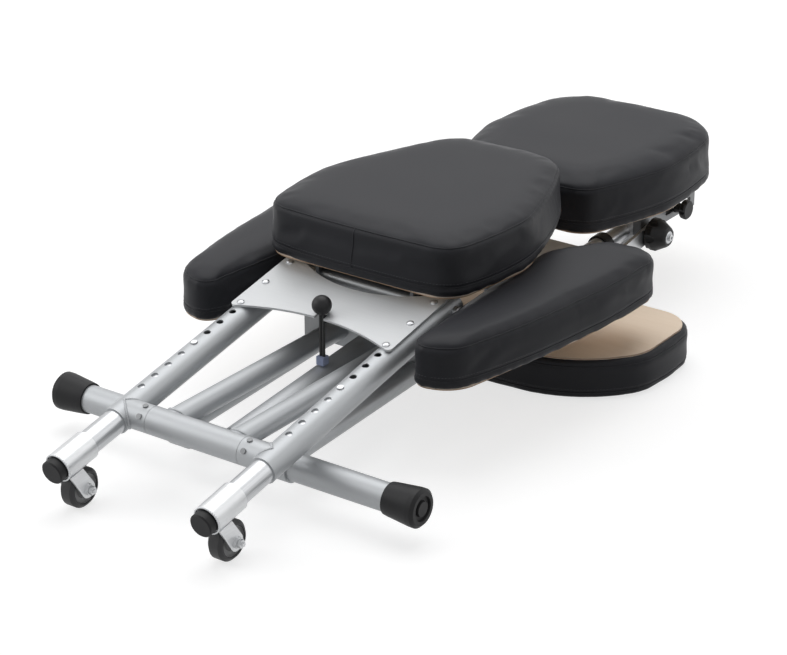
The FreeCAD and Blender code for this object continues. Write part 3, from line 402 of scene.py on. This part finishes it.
def mesh_from(name, points, faces):
    """A smooth mesh with outward faces."""
    mesh = bpy.data.meshes.new(name)
    mesh.from_pydata([tuple(p) for p in points], [], faces)
    work = bmesh.new()
    work.from_mesh(mesh)
    bmesh.ops.remove_doubles(work, verts=work.verts, dist=1e-6)
    bmesh.ops.recalc_face_normals(work, faces=work.faces)
    work.to_mesh(mesh)
    work.free()
    mesh.polygons.foreach_set("use_smooth", [True] * len(mesh.polygons))
    return mesh


def lathe(name, profile, centre, axis, steps=48, sharp=35):
    """A turned mesh from (along, radius) points in metres."""
    spin = Z_AXIS.rotation_difference(axis)
    points = []
    faces = []
    count = len(profile)
    for step in range(steps):
        angle = 2 * math.pi * step / steps
        for along, radius in profile:
            local = Vector((radius * math.cos(angle), radius * math.sin(angle), along))
            points.append(centre + spin @ local)
    for step in range(steps):
        here = step * count
        there = (step + 1) % steps * count
        for index in range(count - 1):
            faces.append((here + index, there + index, there + index + 1, here + index + 1))
    mesh = mesh_from(name, points, faces)
    mesh.set_sharp_from_angle(angle=math.radians(sharp))
    return mesh


NEARLY_UPRIGHT = 0.05


def tube_mesh(name, route, radius, closed=True, sides=8):
    """A round welt along a line of points."""
    points = []
    faces = []
    count = len(route)
    for index, place in enumerate(route):
        before = route[index - 1] if closed or index else place
        after = route[(index + 1) % count] if closed or index < count - 1 else place
        run = (after - before).normalized()
        side = run.cross(Z_AXIS)
        side = side.normalized() if side.length > NEARLY_UPRIGHT else X_AXIS
        up = side.cross(run).normalized()
        for turn in range(sides):
            angle = 2 * math.pi * turn / sides
            points.append(place + side * radius * math.cos(angle) + up * radius * math.sin(angle))
    rings = count if closed else count - 1
    for index in range(rings):
        following = (index + 1) % count
        for turn in range(sides):
            beside = (turn + 1) % sides
            faces.append((index * sides + turn, index * sides + beside,
                          following * sides + beside, following * sides + turn))
    if not closed:
        faces.append(tuple(range(sides)))
        faces.append(tuple((count - 1) * sides + turn for turn in range(sides)))
    return mesh_from(name, points, faces)


def evaluated_mesh(obj):
    """The object's mesh with its modifiers applied."""
    graph = bpy.context.evaluated_depsgraph_get()
    return bpy.data.meshes.new_from_object(obj.evaluated_get(graph))


def bead_tree():
    """Geometry nodes that set small rounded beads along edges: stitches or weld ripples."""
    tree = bpy.data.node_groups.get("bead_row")
    if tree:
        return tree
    tree = bpy.data.node_groups.new("bead_row", "GeometryNodeTree")
    face = tree.interface
    face.new_socket("Geometry", in_out="INPUT", socket_type="NodeSocketGeometry")
    for socket in ("Pitch", "Length", "Width", "Height"):
        face.new_socket(socket, in_out="INPUT", socket_type="NodeSocketFloat")
    face.new_socket("Finish", in_out="INPUT", socket_type="NodeSocketMaterial")
    face.new_socket("Geometry", in_out="OUTPUT", socket_type="NodeSocketGeometry")
    new = tree.nodes.new
    link = tree.links.new
    source = new("NodeGroupInput")
    target = new("NodeGroupOutput")
    to_curve = new("GeometryNodeMeshToCurve")
    spread = new("GeometryNodeResampleCurve")
    spread.mode = "LENGTH"
    tangent = new("GeometryNodeInputTangent")
    facing = new("FunctionNodeAlignRotationToVector")
    facing.axis = "X"
    bead = new("GeometryNodeMeshIcoSphere")
    bead.inputs["Subdivisions"].default_value = 2
    size = new("ShaderNodeCombineXYZ")
    scatter = new("GeometryNodeInstanceOnPoints")
    realize = new("GeometryNodeRealizeInstances")
    smooth = new("GeometryNodeSetShadeSmooth")
    paint = new("GeometryNodeSetMaterial")
    link(source.outputs["Geometry"], to_curve.inputs["Mesh"])
    link(to_curve.outputs["Curve"], spread.inputs["Curve"])
    link(source.outputs["Pitch"], spread.inputs["Length"])
    link(spread.outputs["Curve"], scatter.inputs["Points"])
    link(bead.outputs["Mesh"], scatter.inputs["Instance"])
    link(tangent.outputs["Tangent"], facing.inputs["Vector"])
    link(facing.outputs["Rotation"], scatter.inputs["Rotation"])
    for index, socket in enumerate(("Length", "Width", "Height")):
        link(source.outputs[socket], size.inputs[index])
    link(size.outputs["Vector"], scatter.inputs["Scale"])
    link(scatter.outputs["Instances"], smooth.inputs["Geometry"])
    link(smooth.outputs["Geometry"], realize.inputs["Geometry"])
    link(realize.outputs["Geometry"], paint.inputs["Geometry"])
    link(source.outputs["Finish"], paint.inputs["Material"])
    link(paint.outputs["Geometry"], target.inputs["Geometry"])
    return tree


def beads(name, routes, pitch, size, material, body):
    """Set beads along closed routes and keep the result as a plain mesh."""
    tree = bead_tree()
    points = []
    edges = []
    for route in routes:
        first = len(points)
        count = len(route)
        points += [tuple(p) for p in route]
        edges += [(first + i, first + (i + 1) % count) for i in range(count)]
    guide = bpy.data.meshes.new(name + "_guide")
    guide.from_pydata(points, edges, [])
    holder = bpy.data.objects.new(name + "_guide", guide)
    bpy.context.scene.collection.objects.link(holder)
    modifier = holder.modifiers.new("Beads", "NODES")
    modifier.node_group = tree
    values = {"Pitch": pitch, "Length": size[0], "Width": size[1], "Height": size[2], "Finish": material}
    for item in tree.interface.items_tree:
        if item.in_out == "INPUT" and item.name in values:
            modifier[item.identifier] = values[item.name]
    mesh = evaluated_mesh(holder)
    bpy.data.objects.remove(holder)
    bpy.data.meshes.remove(guide)
    mesh.name = name
    return piece(name, mesh, material, body)


# Pads

SIDE_BOW = 0.025
LONGEST_BOW = 4.0
ARC_STEPS = 8
OUTLINE_STEP = 9
CLOTH_FRAMES = 20
RELAX_ROUNDS = 3
END_GIVE = 0.1
SEAM_DEPTH = 1.0
SEAM_WIDTH = 2.6
SEAM_TAIL = 3
ON_CROWN = 0.95
ON_SIDE = 0.6
LOOK_FROM = -20
LOOK_TO = 25
LOOK_REACH = 0.08
STITCH_RISE = 4.5
STITCH_LIFT = 0.05
STITCH_SIZE = (0.0014, 0.00035, 0.00035)

# A pad's seams are (height, steepest facing) pairs, and its end is (forward, sign)
Pad = namedtuple("Pad", "name node body corners levels seams held_below held_above end",
                 defaults=(math.inf, None))


def corner_arcs(corners, inset):
    """Points along the corner arcs of an outline in millimetres, drawn in by an inset."""
    xs = [c[0] for c in corners]
    ys = [c[1] for c in corners]
    middle = Vector(((min(xs) + max(xs)) / 2, (min(ys) + max(ys)) / 2))
    scale = Vector((1 - inset * 2 / (max(xs) - min(xs)), 1 - inset * 2 / (max(ys) - min(ys))))
    places = [middle + (Vector((x, y)) - middle) * scale for x, y, r in corners]
    result = []
    for index, corner in enumerate(places):
        before = (places[index - 1] - corner).normalized()
        after = (places[(index + 1) % len(places)] - corner).normalized()
        round_radius = corners[index][2] * min(scale)
        half = before.angle(after) / 2
        reach = round_radius / math.tan(half)
        heart = corner + (before + after).normalized() * round_radius / math.sin(half)
        first = corner + before * reach - heart
        sweep = -first.angle_signed(corner + after * reach - heart)
        for step in range(ARC_STEPS + 1):
            result.append(heart + Matrix.Rotation(sweep * step / ARC_STEPS, 2) @ first)
    return result


def rounded_outline(corners, inset):
    """Points round an outline, as many at every inset, with its long sides bowed out a little."""
    plain = corner_arcs(corners, 0)
    drawn = corner_arcs(corners, inset)
    middle = sum(plain, Vector((0, 0))) / len(plain)
    even = []
    for index, start in enumerate(plain):
        following = (index + 1) % len(plain)
        run = plain[following] - start
        cuts = max(1, round(run.length / OUTLINE_STEP))
        out = Vector((run.y, -run.x)).normalized()
        if out.dot(start - middle) < 0:
            out = -out
        bow = min(run.length * SIDE_BOW, LONGEST_BOW)
        for step in range(cuts):
            part = step / cuts
            even.append(drawn[index].lerp(drawn[following], part) + out * bow * 4 * part * (1 - part))
    return even


def ring_stack(pad):
    """A closed form from a pad's outline, stacked at (height, inset) levels."""
    outlines = [rounded_outline(pad.corners, inset) for height, inset in pad.levels]
    count = len(outlines[0])
    top = (len(pad.levels) - 1) * count
    points = []
    faces = []
    for (height, inset), outline in zip(pad.levels, outlines):
        points += [at(p.x, p.y, height) for p in outline]
    for low in range(0, top, count):
        for index in range(count):
            beside = (index + 1) % count
            faces.append((low + index, low + beside, low + count + beside, low + count + index))
    faces.append(tuple(range(count)))
    faces.append(tuple(range(top, top + count)))
    return mesh_from(pad.name + "_form", points, faces)


def swell(obj, pad, settings):
    """Let simulated pressure push the cover out a little, except where the pad rests."""
    grid = obj.data
    low = pad.held_below * MM
    high = pad.held_above * MM
    pins = obj.vertex_groups.new(name="held")
    pins.add([v.index for v in grid.vertices if v.co.z < low or v.co.z > high], 1.0, "REPLACE")
    cloth = obj.modifiers.new("Cover", "CLOTH")
    cloth.settings.quality = 4
    cloth.settings.mass = 0.4
    cloth.settings.tension_stiffness = 25
    cloth.settings.compression_stiffness = 25
    cloth.settings.use_pressure = True
    cloth.settings.uniform_pressure_force = settings.pressure
    cloth.settings.effector_weights.gravity = 0
    cloth.settings.vertex_group_mass = pins.name
    cloth.point_cache.frame_start = 1
    cloth.point_cache.frame_end = CLOTH_FRAMES
    scene = bpy.context.scene
    for step in range(1, CLOTH_FRAMES + 1):
        scene.frame_set(step)
    swollen = evaluated_mesh(obj)
    for vertex, moved in zip(grid.vertices, swollen.vertices):
        shift = moved.co - vertex.co
        if shift.length > settings.swell:
            shift = shift.normalized() * settings.swell
        vertex.co = vertex.co + shift
    obj.modifiers.clear()
    obj.vertex_groups.clear()
    scene.frame_set(1)


def relax(mesh):
    """Even out the steps that the grid leaves."""
    work = bmesh.new()
    work.from_mesh(mesh)
    for _ in range(RELAX_ROUNDS):
        bmesh.ops.smooth_vert(
            work, verts=work.verts, factor=0.5, use_axis_x=True, use_axis_y=True, use_axis_z=True)
    work.to_mesh(mesh)
    work.free()


def stuffed(pad, settings):
    """A pad's form remade on an even grid, swollen and smoothed."""
    obj = bpy.data.objects.new(pad.name, ring_stack(pad))
    bpy.context.scene.collection.objects.link(obj)
    remesh = obj.modifiers.new("Grid", "REMESH")
    remesh.mode = "VOXEL"
    remesh.voxel_size = settings.voxel
    remesh.use_smooth_shade = True
    grid = evaluated_mesh(obj)
    obj.modifiers.clear()
    obj.data = grid
    swell(obj, pad, settings)
    relax(grid)
    fine = obj.modifiers.new("Fine", "SUBSURF")
    fine.levels = 1
    fine.render_levels = 1
    final = evaluated_mesh(obj)
    bpy.data.objects.remove(obj)
    final.polygons.foreach_set("use_smooth", [True] * len(final.polygons))
    final.name = pad.name
    return final


def press_end(mesh, forward, sign):
    """Press a pad's end nearly flat where it would pass a distance forward."""
    limit = forward * MM - FORWARD
    for vertex in mesh.vertices:
        past = vertex.co.y - limit
        if past * sign > 0:
            vertex.co.y = limit + past * END_GIVE


def press_seam(mesh, height, facing):
    """Draw the cover in along a seam at a height, but not where the cover faces further up."""
    normals = [vertex.normal.copy() for vertex in mesh.vertices]
    for vertex, normal in zip(mesh.vertices, normals):
        gap = (vertex.co.z - height * MM) / (SEAM_WIDTH * MM)
        if abs(gap) < SEAM_TAIL and abs(normal.z) < facing:
            vertex.co -= normal * SEAM_DEPTH * MM * math.exp(-gap * gap)


def surface_tree(mesh):
    """A mesh's surface, ready for rays to be cast at it."""
    return BVHTree.FromPolygons([v.co for v in mesh.vertices], [tuple(p.vertices) for p in mesh.polygons])


def seam_line(surface, corners, height, lift=0.0):
    """Points where a level line meets a pad's side, found by looking inwards."""
    route = []
    for outer, inner in zip(rounded_outline(corners, LOOK_FROM), rounded_outline(corners, LOOK_TO)):
        start = at(outer.x, outer.y, height)
        direction = (at(inner.x, inner.y, height) - start).normalized()
        place = surface.ray_cast(start, direction, LOOK_REACH)[0]
        if place is not None:
            route.append(place - direction * lift * MM)
    return route


def make_pad(pad, settings):
    """One upholstered pad with welts and stitches along its seams."""
    mesh = stuffed(pad, settings)
    if pad.end:
        press_end(mesh, *pad.end)
    for height, facing in pad.seams:
        press_seam(mesh, height, facing)
    cover = piece(pad.name, mesh, FINISHES["leather"], pad.body)
    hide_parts(pad.node)
    surface = surface_tree(mesh)
    heights = [height for height, facing in pad.seams]
    for index, height in enumerate(heights):
        tube = tube_mesh(pad.name + "_welt", seam_line(surface, pad.corners, height), settings.welt)
        welt = piece("%s_welt_%d" % (pad.name, index), tube, FINISHES["leather"], pad.body)
    row = seam_line(surface, pad.corners, min(heights) + STITCH_RISE, STITCH_LIFT)
    stitches = beads(pad.name + "_stitches", [row], settings.stitch_pitch, STITCH_SIZE, FINISHES["thread"],
                     pad.body)
    return surface


# Outlines: corner X, corner forward distance, corner radius, in millimetres

def both_halves(half):
    """A whole outline from its right half."""
    return half + [(-x, y, r) for x, y, r in reversed(half)]


SEAT = both_halves([(147, 438, 42), (166, 586, 120), (88, 798, 76)])
CHEST = both_halves([(108, 807, 42), (154, 952, 140), (134, 1150, 90)])
NUT_END = 138.1
KNEE = [
    (NUT_END + 13, 332, 21.6), (NUT_END + 76, 348, 50.4), (NUT_END + 116, 565, 144),
    (NUT_END + 126, 756, 39.6), (NUT_END + 42, 756, 45), (NUT_END - 13, 670, 57.6),
]
ARMREST = both_halves([(212.4, 598, 170), (280.1, 690, 70), (279.5, 832, 50)])
ARMREST_LEVELS = [
    (0.6, 16.0), (1.6, 7.0), (4.5, 3.0), (9.0, 2.0), (30.0, 3.2), (46.0, 2.0), (51.0, 2.6), (54.6, 6.0),
    (54.8, 30.0),
]
SEAT_SEAMS = [(246.2, ON_CROWN), (196.5, ON_SIDE)]
CHEST_SEAMS = [(200.2, ON_CROWN), (152.5, ON_SIDE)]
KNEE_SEAMS = [(168.2, ON_CROWN), (127.5, ON_SIDE)]
ARMREST_SEAMS = [(10.5, ON_SIDE), (46.2, ON_SIDE)]
JOIN_STEPS = 12
JOIN_START = -0.3
JOIN_REACH = 0.4


def cushion_levels(low, seam, crown):
    """Levels of a pad that is tucked below, drawn in at its sides and crowned on top."""
    side = seam - low
    return [
        (low, 1.6), (low + side * 0.04, 0.6), (low + side * 0.14, 0.6), (low + side * 0.5, 2.2),
        (low + side * 0.86, 1.0), (seam, 1.2), (seam + crown * 0.35, 4.0), (seam + crown * 0.68, 12.0),
        (seam + crown * 0.92, 30.0), (seam + crown, 52.0),
    ]


# Stage

IMAGE_WIDTH = 787
LENS_PIXELS = 2600
SENSOR_WIDTH = 36
CAMERA_PLACE = at(1759.0, -1941.2, 1428.1)
CAMERA_AIM = at(21.2, 492.7, 100.0)
LAMP_AIM = Vector((0, 0, 0.1))
FAR_SHARE = 0.3
FLOOR_GAP = 0.0002
SOFT_LIGHT = 0.12


def stand(scene, name, data, place, aim):
    """Put a camera or lamp in place, facing a point."""
    obj = bpy.data.objects.new(name, data)
    obj.location = place
    obj.rotation_euler = (aim - place).to_track_quat("-Z", "Y").to_euler()
    scene.collection.objects.link(obj)
    return obj


def add_camera(scene):
    """The photograph's viewpoint."""
    data = bpy.data.cameras.new("camera")
    data.sensor_width = SENSOR_WIDTH
    data.lens = LENS_PIXELS / IMAGE_WIDTH * SENSOR_WIDTH
    data.clip_end = 100
    scene.camera = stand(scene, "camera", data, CAMERA_PLACE, CAMERA_AIM)


def add_floor(scene, side):
    """A wide paper floor just under the chair."""
    half = side / 2
    corners = [(-half, -half, 0), (half, -half, 0), (half, half, 0), (-half, half, 0)]
    mesh = mesh_from("floor", corners, [(0, 1, 2, 3)])
    mesh.materials.append(floor_paper())
    floor = bpy.data.objects.new("floor", mesh)
    floor.location.z = -FLOOR_GAP
    scene.collection.objects.link(floor)


def add_lamps(scene, settings):
    """Three square softboxes."""
    lamps = (
        ("top_softbox", settings.top_lamp, 2.6, Vector((-0.4, 0.5, 2.4))),
        ("side_softbox", settings.key_lamp, 2.0, Vector((-2.2, -1.6, 1.6))),
        ("far_softbox", settings.key_lamp * FAR_SHARE, 1.6, Vector((1.8, 1.6, 1.5))),
    )
    for name, power, size, place in lamps:
        data = bpy.data.lights.new(name, "AREA")
        data.energy = power
        data.shape = "SQUARE"
        data.size = size
        stand(scene, name, data, place, LAMP_AIM)


def add_world(scene):
    """A soft sky that looks plain white."""
    world = bpy.data.worlds.new("studio")
    world.use_nodes = True
    nodes = Nodes(world.node_tree, "ShaderNodeOutputWorld")
    background = "ShaderNodeBackground"
    clear = nodes.node(background, None, {"Color": (1, 1, 1, 1), "Strength": 1.0})
    soft = nodes.node(background, None, {"Color": (0.95, 0.97, 1.0, 1), "Strength": SOFT_LIGHT})
    nodes.finish(nodes.node("ShaderNodeMixShader", None, {0: nodes.seen(), 1: soft, 2: clear}))
    scene.world = world


# Operators

class CHAIR_OT_stage(bpy.types.Operator):
    """Lay the floor and set the lamps and camera"""
    bl_idname = "chair.stage"
    bl_label = "Stage"

    def execute(self, context):
        scene = context.scene
        add_camera(scene)
        add_floor(scene, scene.chair_stage.floor)
        add_lamps(scene, scene.chair_stage)
        add_world(scene)
        scene.view_settings.view_transform = "Standard"
        return {"FINISHED"}


def dress(material, *names):
    """Give CAD nodes a finish."""
    for name in names:
        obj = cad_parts[name]
        if not obj.material_slots:
            obj.data.materials.append(material)
        for slot in obj.material_slots:
            slot.material = material


class CHAIR_OT_finishes(bpy.types.Operator):
    """Give every solid of the frame its finish"""
    bl_idname = "chair.finishes"
    bl_label = "Frame finishes"

    def execute(self, context):
        colours = context.scene.chair_finishes
        FINISHES["leather"] = leatherette(colours.leather)
        FINISHES["thread"] = thread(colours.leather)
        FINISHES["chrome"] = polished_steel(LEG_TILT)
        FINISHES["zinc"] = zinc_steel("zinc_steel", (0.62, 0.63, 0.64))
        # painted shade: a darkened copy of the zinc that stands in for shade on the slide bars, seat
        # channel, knee brackets and hinge screws
        FINISHES["painted_shade_zinc"] = zinc_steel("painted_shade_zinc", (0.20, 0.205, 0.21))
        # painted light: a brightened copy of the zinc that makes up for lamp light the caster fork cheeks
        # don't catch
        FINISHES["painted_light_zinc"] = zinc_steel("painted_light_zinc", (0.69, 0.70, 0.71), 0.82)
        FINISHES["rubber"] = moulded("black_rubber", colours.rubber, 0.46, 700)
        FINISHES["plastic"] = moulded("black_plastic", (0.016, 0.016, 0.017), 0.36, 1100)
        FINISHES["paint"] = frame_paint(colours.paint)
        dress(FINISHES["paint"], "foot_bar", "spine_tube", "pivot_sleeve", "hinge_struts", "strut_bridge",
              "leg_tube_left", "leg_tube_right", "hinge_bar", "rail_left", "rail_right")
        # The caster forks get the brightened zinc copy, which is painted light
        dress(FINISHES["painted_light_zinc"], "caster_fork_left", "caster_fork_right")
        dress(FINISHES["chrome"], "inner_leg_left", "inner_leg_right", "pivot_rod", "acorn_nuts",
              "plate_rivets")
        dress(polished_steel(RAIL_TILT), "inner_rail_left", "inner_rail_right")
        dress(FINISHES["zinc"], "clamp_blocks", "carrier_bar", "arm_studs", "chest_brackets", "armrest_arms",
              "cross_plate", "cross_rivets", "caster_axle_left", "caster_axle_right", "snap_button_left",
              "snap_button_right")
        # These parts get the darkened zinc copy, which is painted shade
        dress(FINISHES["painted_shade_zinc"], "slide_bars", "seat_channel", "knee_brackets", "hinge_screws")
        dress(bare_plate(), "leg_plate")
        dress(FINISHES["rubber"], "foot_tips", "leg_cap_left", "leg_cap_right", "prop_foot")
        dress(FINISHES["plastic"], "clamp_knob_left", "clamp_knob_right", "slide_knob_left",
              "slide_knob_right", "rail_rings", "channel_bushes", "bungee_ball")
        dress(moulded("clip_plastic", (0.33, 0.38, 0.55), 0.40, 900), "cord_clip")
        dress(braided_cord(), "bungee_cord")
        dress(birch_plywood(colours.plywood), "seat_board", "chest_board", "knee_board_left",
              "knee_board_right", "armrest_board")
        for side, sign in SIDES:
            centre = leg_point(sign * LEG_X, AXLE_ALONG, -AXLE_DROP)
            dress(castor_wheel(centre, colours.rubber), "caster_wheel_" + side)
        return {"FINISHED"}


class CHAIR_OT_seat(bpy.types.Operator):
    """Stuff and sew the seat pad"""
    bl_idname = "chair.seat"
    bl_label = "Seat pad"

    def execute(self, context):
        settings = context.scene.chair_pads
        surface = make_pad(Pad(
            name="seat_cushion", node="seat_pad", body="seat", corners=SEAT, seams=SEAT_SEAMS,
            levels=cushion_levels(low=183.2, seam=246, crown=7.4), held_below=184.5, end=(797.5, 1),
        ), settings)
        low = SEAT_SEAMS[1][0]
        high = SEAT_SEAMS[0][0]
        front = []
        for step in range(JOIN_STEPS + 1):
            height = low + (high - low) * step / JOIN_STEPS
            start = Vector((0, JOIN_START, height * MM))
            front.append(surface.ray_cast(start, Y_AXIS, JOIN_REACH)[0])
        tube = tube_mesh("seat_front_join", front, settings.welt, closed=False)
        join = piece("seat_front_join", tube, FINISHES["leather"], "seat")
        return {"FINISHED"}


class CHAIR_OT_chest(bpy.types.Operator):
    """Stuff and sew the chest pad"""
    bl_idname = "chair.chest"
    bl_label = "Chest pad"

    def execute(self, context):
        make_pad(Pad(
            name="chest_cushion", node="chest_pad", body="chest", corners=CHEST, seams=CHEST_SEAMS,
            levels=cushion_levels(low=139.2, seam=200, crown=14), held_below=140.5, end=(806.9, -1),
        ), context.scene.chair_pads)
        return {"FINISHED"}


class CHAIR_OT_knees(bpy.types.Operator):
    """Stuff and sew the two knee pads"""
    bl_idname = "chair.knees"
    bl_label = "Knee pads"

    def execute(self, context):
        for side, sign in SIDES:
            make_pad(Pad(
                name="knee_cushion_" + side, node="knee_pad_" + side, body="column", seams=KNEE_SEAMS,
                corners=[(sign * x, y, r) for x, y, r in KNEE],
                levels=cushion_levels(low=116.2, seam=168, crown=9), held_below=117.5,
            ), context.scene.chair_pads)
        return {"FINISHED"}


class CHAIR_OT_armrest(bpy.types.Operator):
    """Stuff and sew the armrest pad round its board"""
    bl_idname = "chair.armrest"
    bl_label = "Armrest pad"

    def execute(self, context):
        make_pad(Pad(
            name="armrest_cushion", node="armrest_pad", body="armrest", corners=ARMREST,
            levels=ARMREST_LEVELS, seams=ARMREST_SEAMS, held_below=2.5, held_above=53.5,
        ), context.scene.chair_pads)
        return {"FINISHED"}


# Welds and hardware

RING_STEPS = 40
TUBE_RADIUS = 0.0175
STRUT_RADIUS = 0.014
STRUT_X = 0.047
STRUT_LIFT = 0.0025
COLLAR_ALONG = 11.9
COLLAR_RADIUS = 0.0169
RIPPLE = (0.0021, 0.0017, 0.0017)
RIPPLE_PITCH = 0.0026
COLLAR_PITCH = 0.0027
NUT_OFFSET = Vector((0.0185, 0, 0))
NUT_WIDTH = 0.010
NUT_HEIGHT = 0.004
AXLE_END = 0.0028
KNOB_PLACE = at(0, 975, 92)
WASHER_SUNK = 0.0018

# Turned outlines: distance along the axis, radius
WASHER = [(0.0, 0.0), (0.0, 0.0086), (0.0016, 0.0088), (0.0022, 0.0080), (0.0022, 0.0046), (0.0022, 0.0)]
SOCKET_BOLT = [
    (0.0022, 0.0), (0.0022, 0.0046), (0.0050, 0.0046), (0.0056, 0.0040), (0.0056, 0.0022),
    (0.0030, 0.0022), (0.0030, 0.0),
]


def ring_offsets(side, up, radius):
    """Steps from a ring's middle to points round it."""
    angles = [2 * math.pi * step / RING_STEPS for step in range(RING_STEPS)]
    return [side * radius * math.cos(angle) + up * radius * math.sin(angle) for angle in angles]


def saddle_ring(hub, run, other, radius):
    """Where a tube along one axis meets the outside of a frame tube along another."""
    side = run.cross(other).normalized()
    up = side.cross(run).normalized()
    ring = []
    for offset in ring_offsets(side, up, radius):
        across = side.dot(offset)
        ring.append(hub + offset + run * math.sqrt(max(TUBE_RADIUS * TUBE_RADIUS - across * across, 0)))
    return ring


class CHAIR_OT_welds(bpy.types.Operator):
    """Lay weld beads where tubes join"""
    bl_idname = "chair.welds"
    bl_label = "Weld beads"

    def execute(self, context):
        legs = []
        struts = []
        for side, sign in SIDES:
            hub = leg_point(sign * LEG_X, HINGE_ALONG)
            legs.append(saddle_ring(hub, X_AXIS * -sign, LEG_DIR, TUBE_RADIUS))
            hub = leg_point(0, HINGE_ALONG) + Vector((sign * STRUT_X, 0, STRUT_LIFT))
            struts.append(saddle_ring(hub, Y_AXIS, X_AXIS, STRUT_RADIUS))
        weld = beads("leg_welds", legs, RIPPLE_PITCH, RIPPLE, FINISHES["paint"], "leg_frame")
        weld = beads("strut_welds", struts, RIPPLE_PITCH, RIPPLE, FINISHES["paint"], "base")
        for side, sign in SIDES:
            centre = leg_point(sign * LEG_X, COLLAR_ALONG)
            ring = [centre + offset for offset in ring_offsets(X_AXIS, LEG_UP, COLLAR_RADIUS)]
            weld = beads("collar_weld_" + side, [ring], COLLAR_PITCH, RIPPLE, FINISHES["chrome"],
                         "lower_leg_" + side)
        return {"FINISHED"}


def hex_nut(name, centre, axis, width, height, bolt):
    """A hexagon nut with a bolt end standing out of it."""
    half = width / 2 / math.cos(math.pi / 6)
    bevel = width * 0.05
    bolt_height = height * 1.6
    spin = Z_AXIS.rotation_difference(axis)
    work = bmesh.new()
    made = bmesh.ops.create_cone(work, cap_ends=True, segments=6, radius1=half, radius2=half, depth=height)
    bmesh.ops.translate(work, verts=made["verts"], vec=(0, 0, height / 2))
    bmesh.ops.bevel(work, geom=work.edges[:], offset=bevel, segments=2, affect="EDGES")
    made = bmesh.ops.create_cone(
        work, cap_ends=True, segments=24, radius1=bolt, radius2=bolt * 0.9, depth=bolt_height)
    bmesh.ops.translate(work, verts=made["verts"], vec=(0, 0, bolt_height / 2))
    bmesh.ops.rotate(work, verts=work.verts, cent=(0, 0, 0), matrix=spin.to_matrix())
    bmesh.ops.translate(work, verts=work.verts, vec=centre)
    mesh = bpy.data.meshes.new(name)
    work.to_mesh(mesh)
    work.free()
    return mesh


class CHAIR_OT_hardware(bpy.types.Operator):
    """Add axle nuts and the washers and bolts in the clamp knobs"""
    bl_idname = "chair.hardware"
    bl_label = "Hardware"

    def execute(self, context):
        for side, sign in SIDES:
            centre = leg_point(sign * LEG_X, AXLE_ALONG, -AXLE_DROP) + NUT_OFFSET
            mesh = hex_nut("axle_nut", centre, X_AXIS, NUT_WIDTH, NUT_HEIGHT, AXLE_END)
            nut = piece("axle_nut_" + side, mesh, FINISHES["zinc"], "lower_leg_" + side)
            body = "clamp_knob_" + side
            low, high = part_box(body)
            out = X_AXIS * sign
            seat = Vector((high.x if sign > 0 else low.x, KNOB_PLACE.y, KNOB_PLACE.z)) - out * WASHER_SUNK
            mesh = lathe("knob_washer", WASHER, seat, out)
            washer = piece("knob_washer_" + side, mesh, FINISHES["chrome"], body)
            mesh = lathe("knob_bolt", SOCKET_BOLT, seat, out)
            bolt = piece("knob_bolt_" + side, mesh, FINISHES["zinc"], body)
        return {"FINISHED"}


class CHAIR_PT_panel(bpy.types.Panel):
    """Buttons for the chair's steps and their settings"""
    bl_label = "Folding massage chair"
    bl_idname = "CHAIR_PT_panel"
    bl_space_type = "VIEW_3D"
    bl_region_type = "UI"
    bl_category = "Chair"

    def draw(self, context):
        for operator in OPERATORS:
            self.layout.operator(operator.bl_idname)
        for group in (context.scene.chair_pads, context.scene.chair_finishes, context.scene.chair_stage):
            for name in group.__annotations__:
                self.layout.prop(group, name)


OPERATORS = (
    CHAIR_OT_stage, CHAIR_OT_finishes, CHAIR_OT_seat, CHAIR_OT_chest, CHAIR_OT_knees, CHAIR_OT_armrest,
    CHAIR_OT_welds, CHAIR_OT_hardware,
)
CLASSES = (PadSettings, FinishSettings, StageSettings, *OPERATORS, CHAIR_PT_panel)


def register():
    for cls in CLASSES:
        bpy.utils.register_class(cls)
    bpy.types.Scene.chair_pads = bpy.props.PointerProperty(type=PadSettings)
    bpy.types.Scene.chair_finishes = bpy.props.PointerProperty(type=FinishSettings)
    bpy.types.Scene.chair_stage = bpy.props.PointerProperty(type=StageSettings)


def unregister():
    del bpy.types.Scene.chair_pads
    del bpy.types.Scene.chair_finishes
    del bpy.types.Scene.chair_stage
    for cls in reversed(CLASSES):
        bpy.utils.unregister_class(cls)


def main():
    register()
    bpy.ops.chair.stage()
    bpy.ops.chair.finishes()
    bpy.ops.chair.seat()
    bpy.ops.chair.chest()
    bpy.ops.chair.knees()
    bpy.ops.chair.armrest()
    bpy.ops.chair.welds()
    bpy.ops.chair.hardware()


if __name__ == "__main__":
    main()
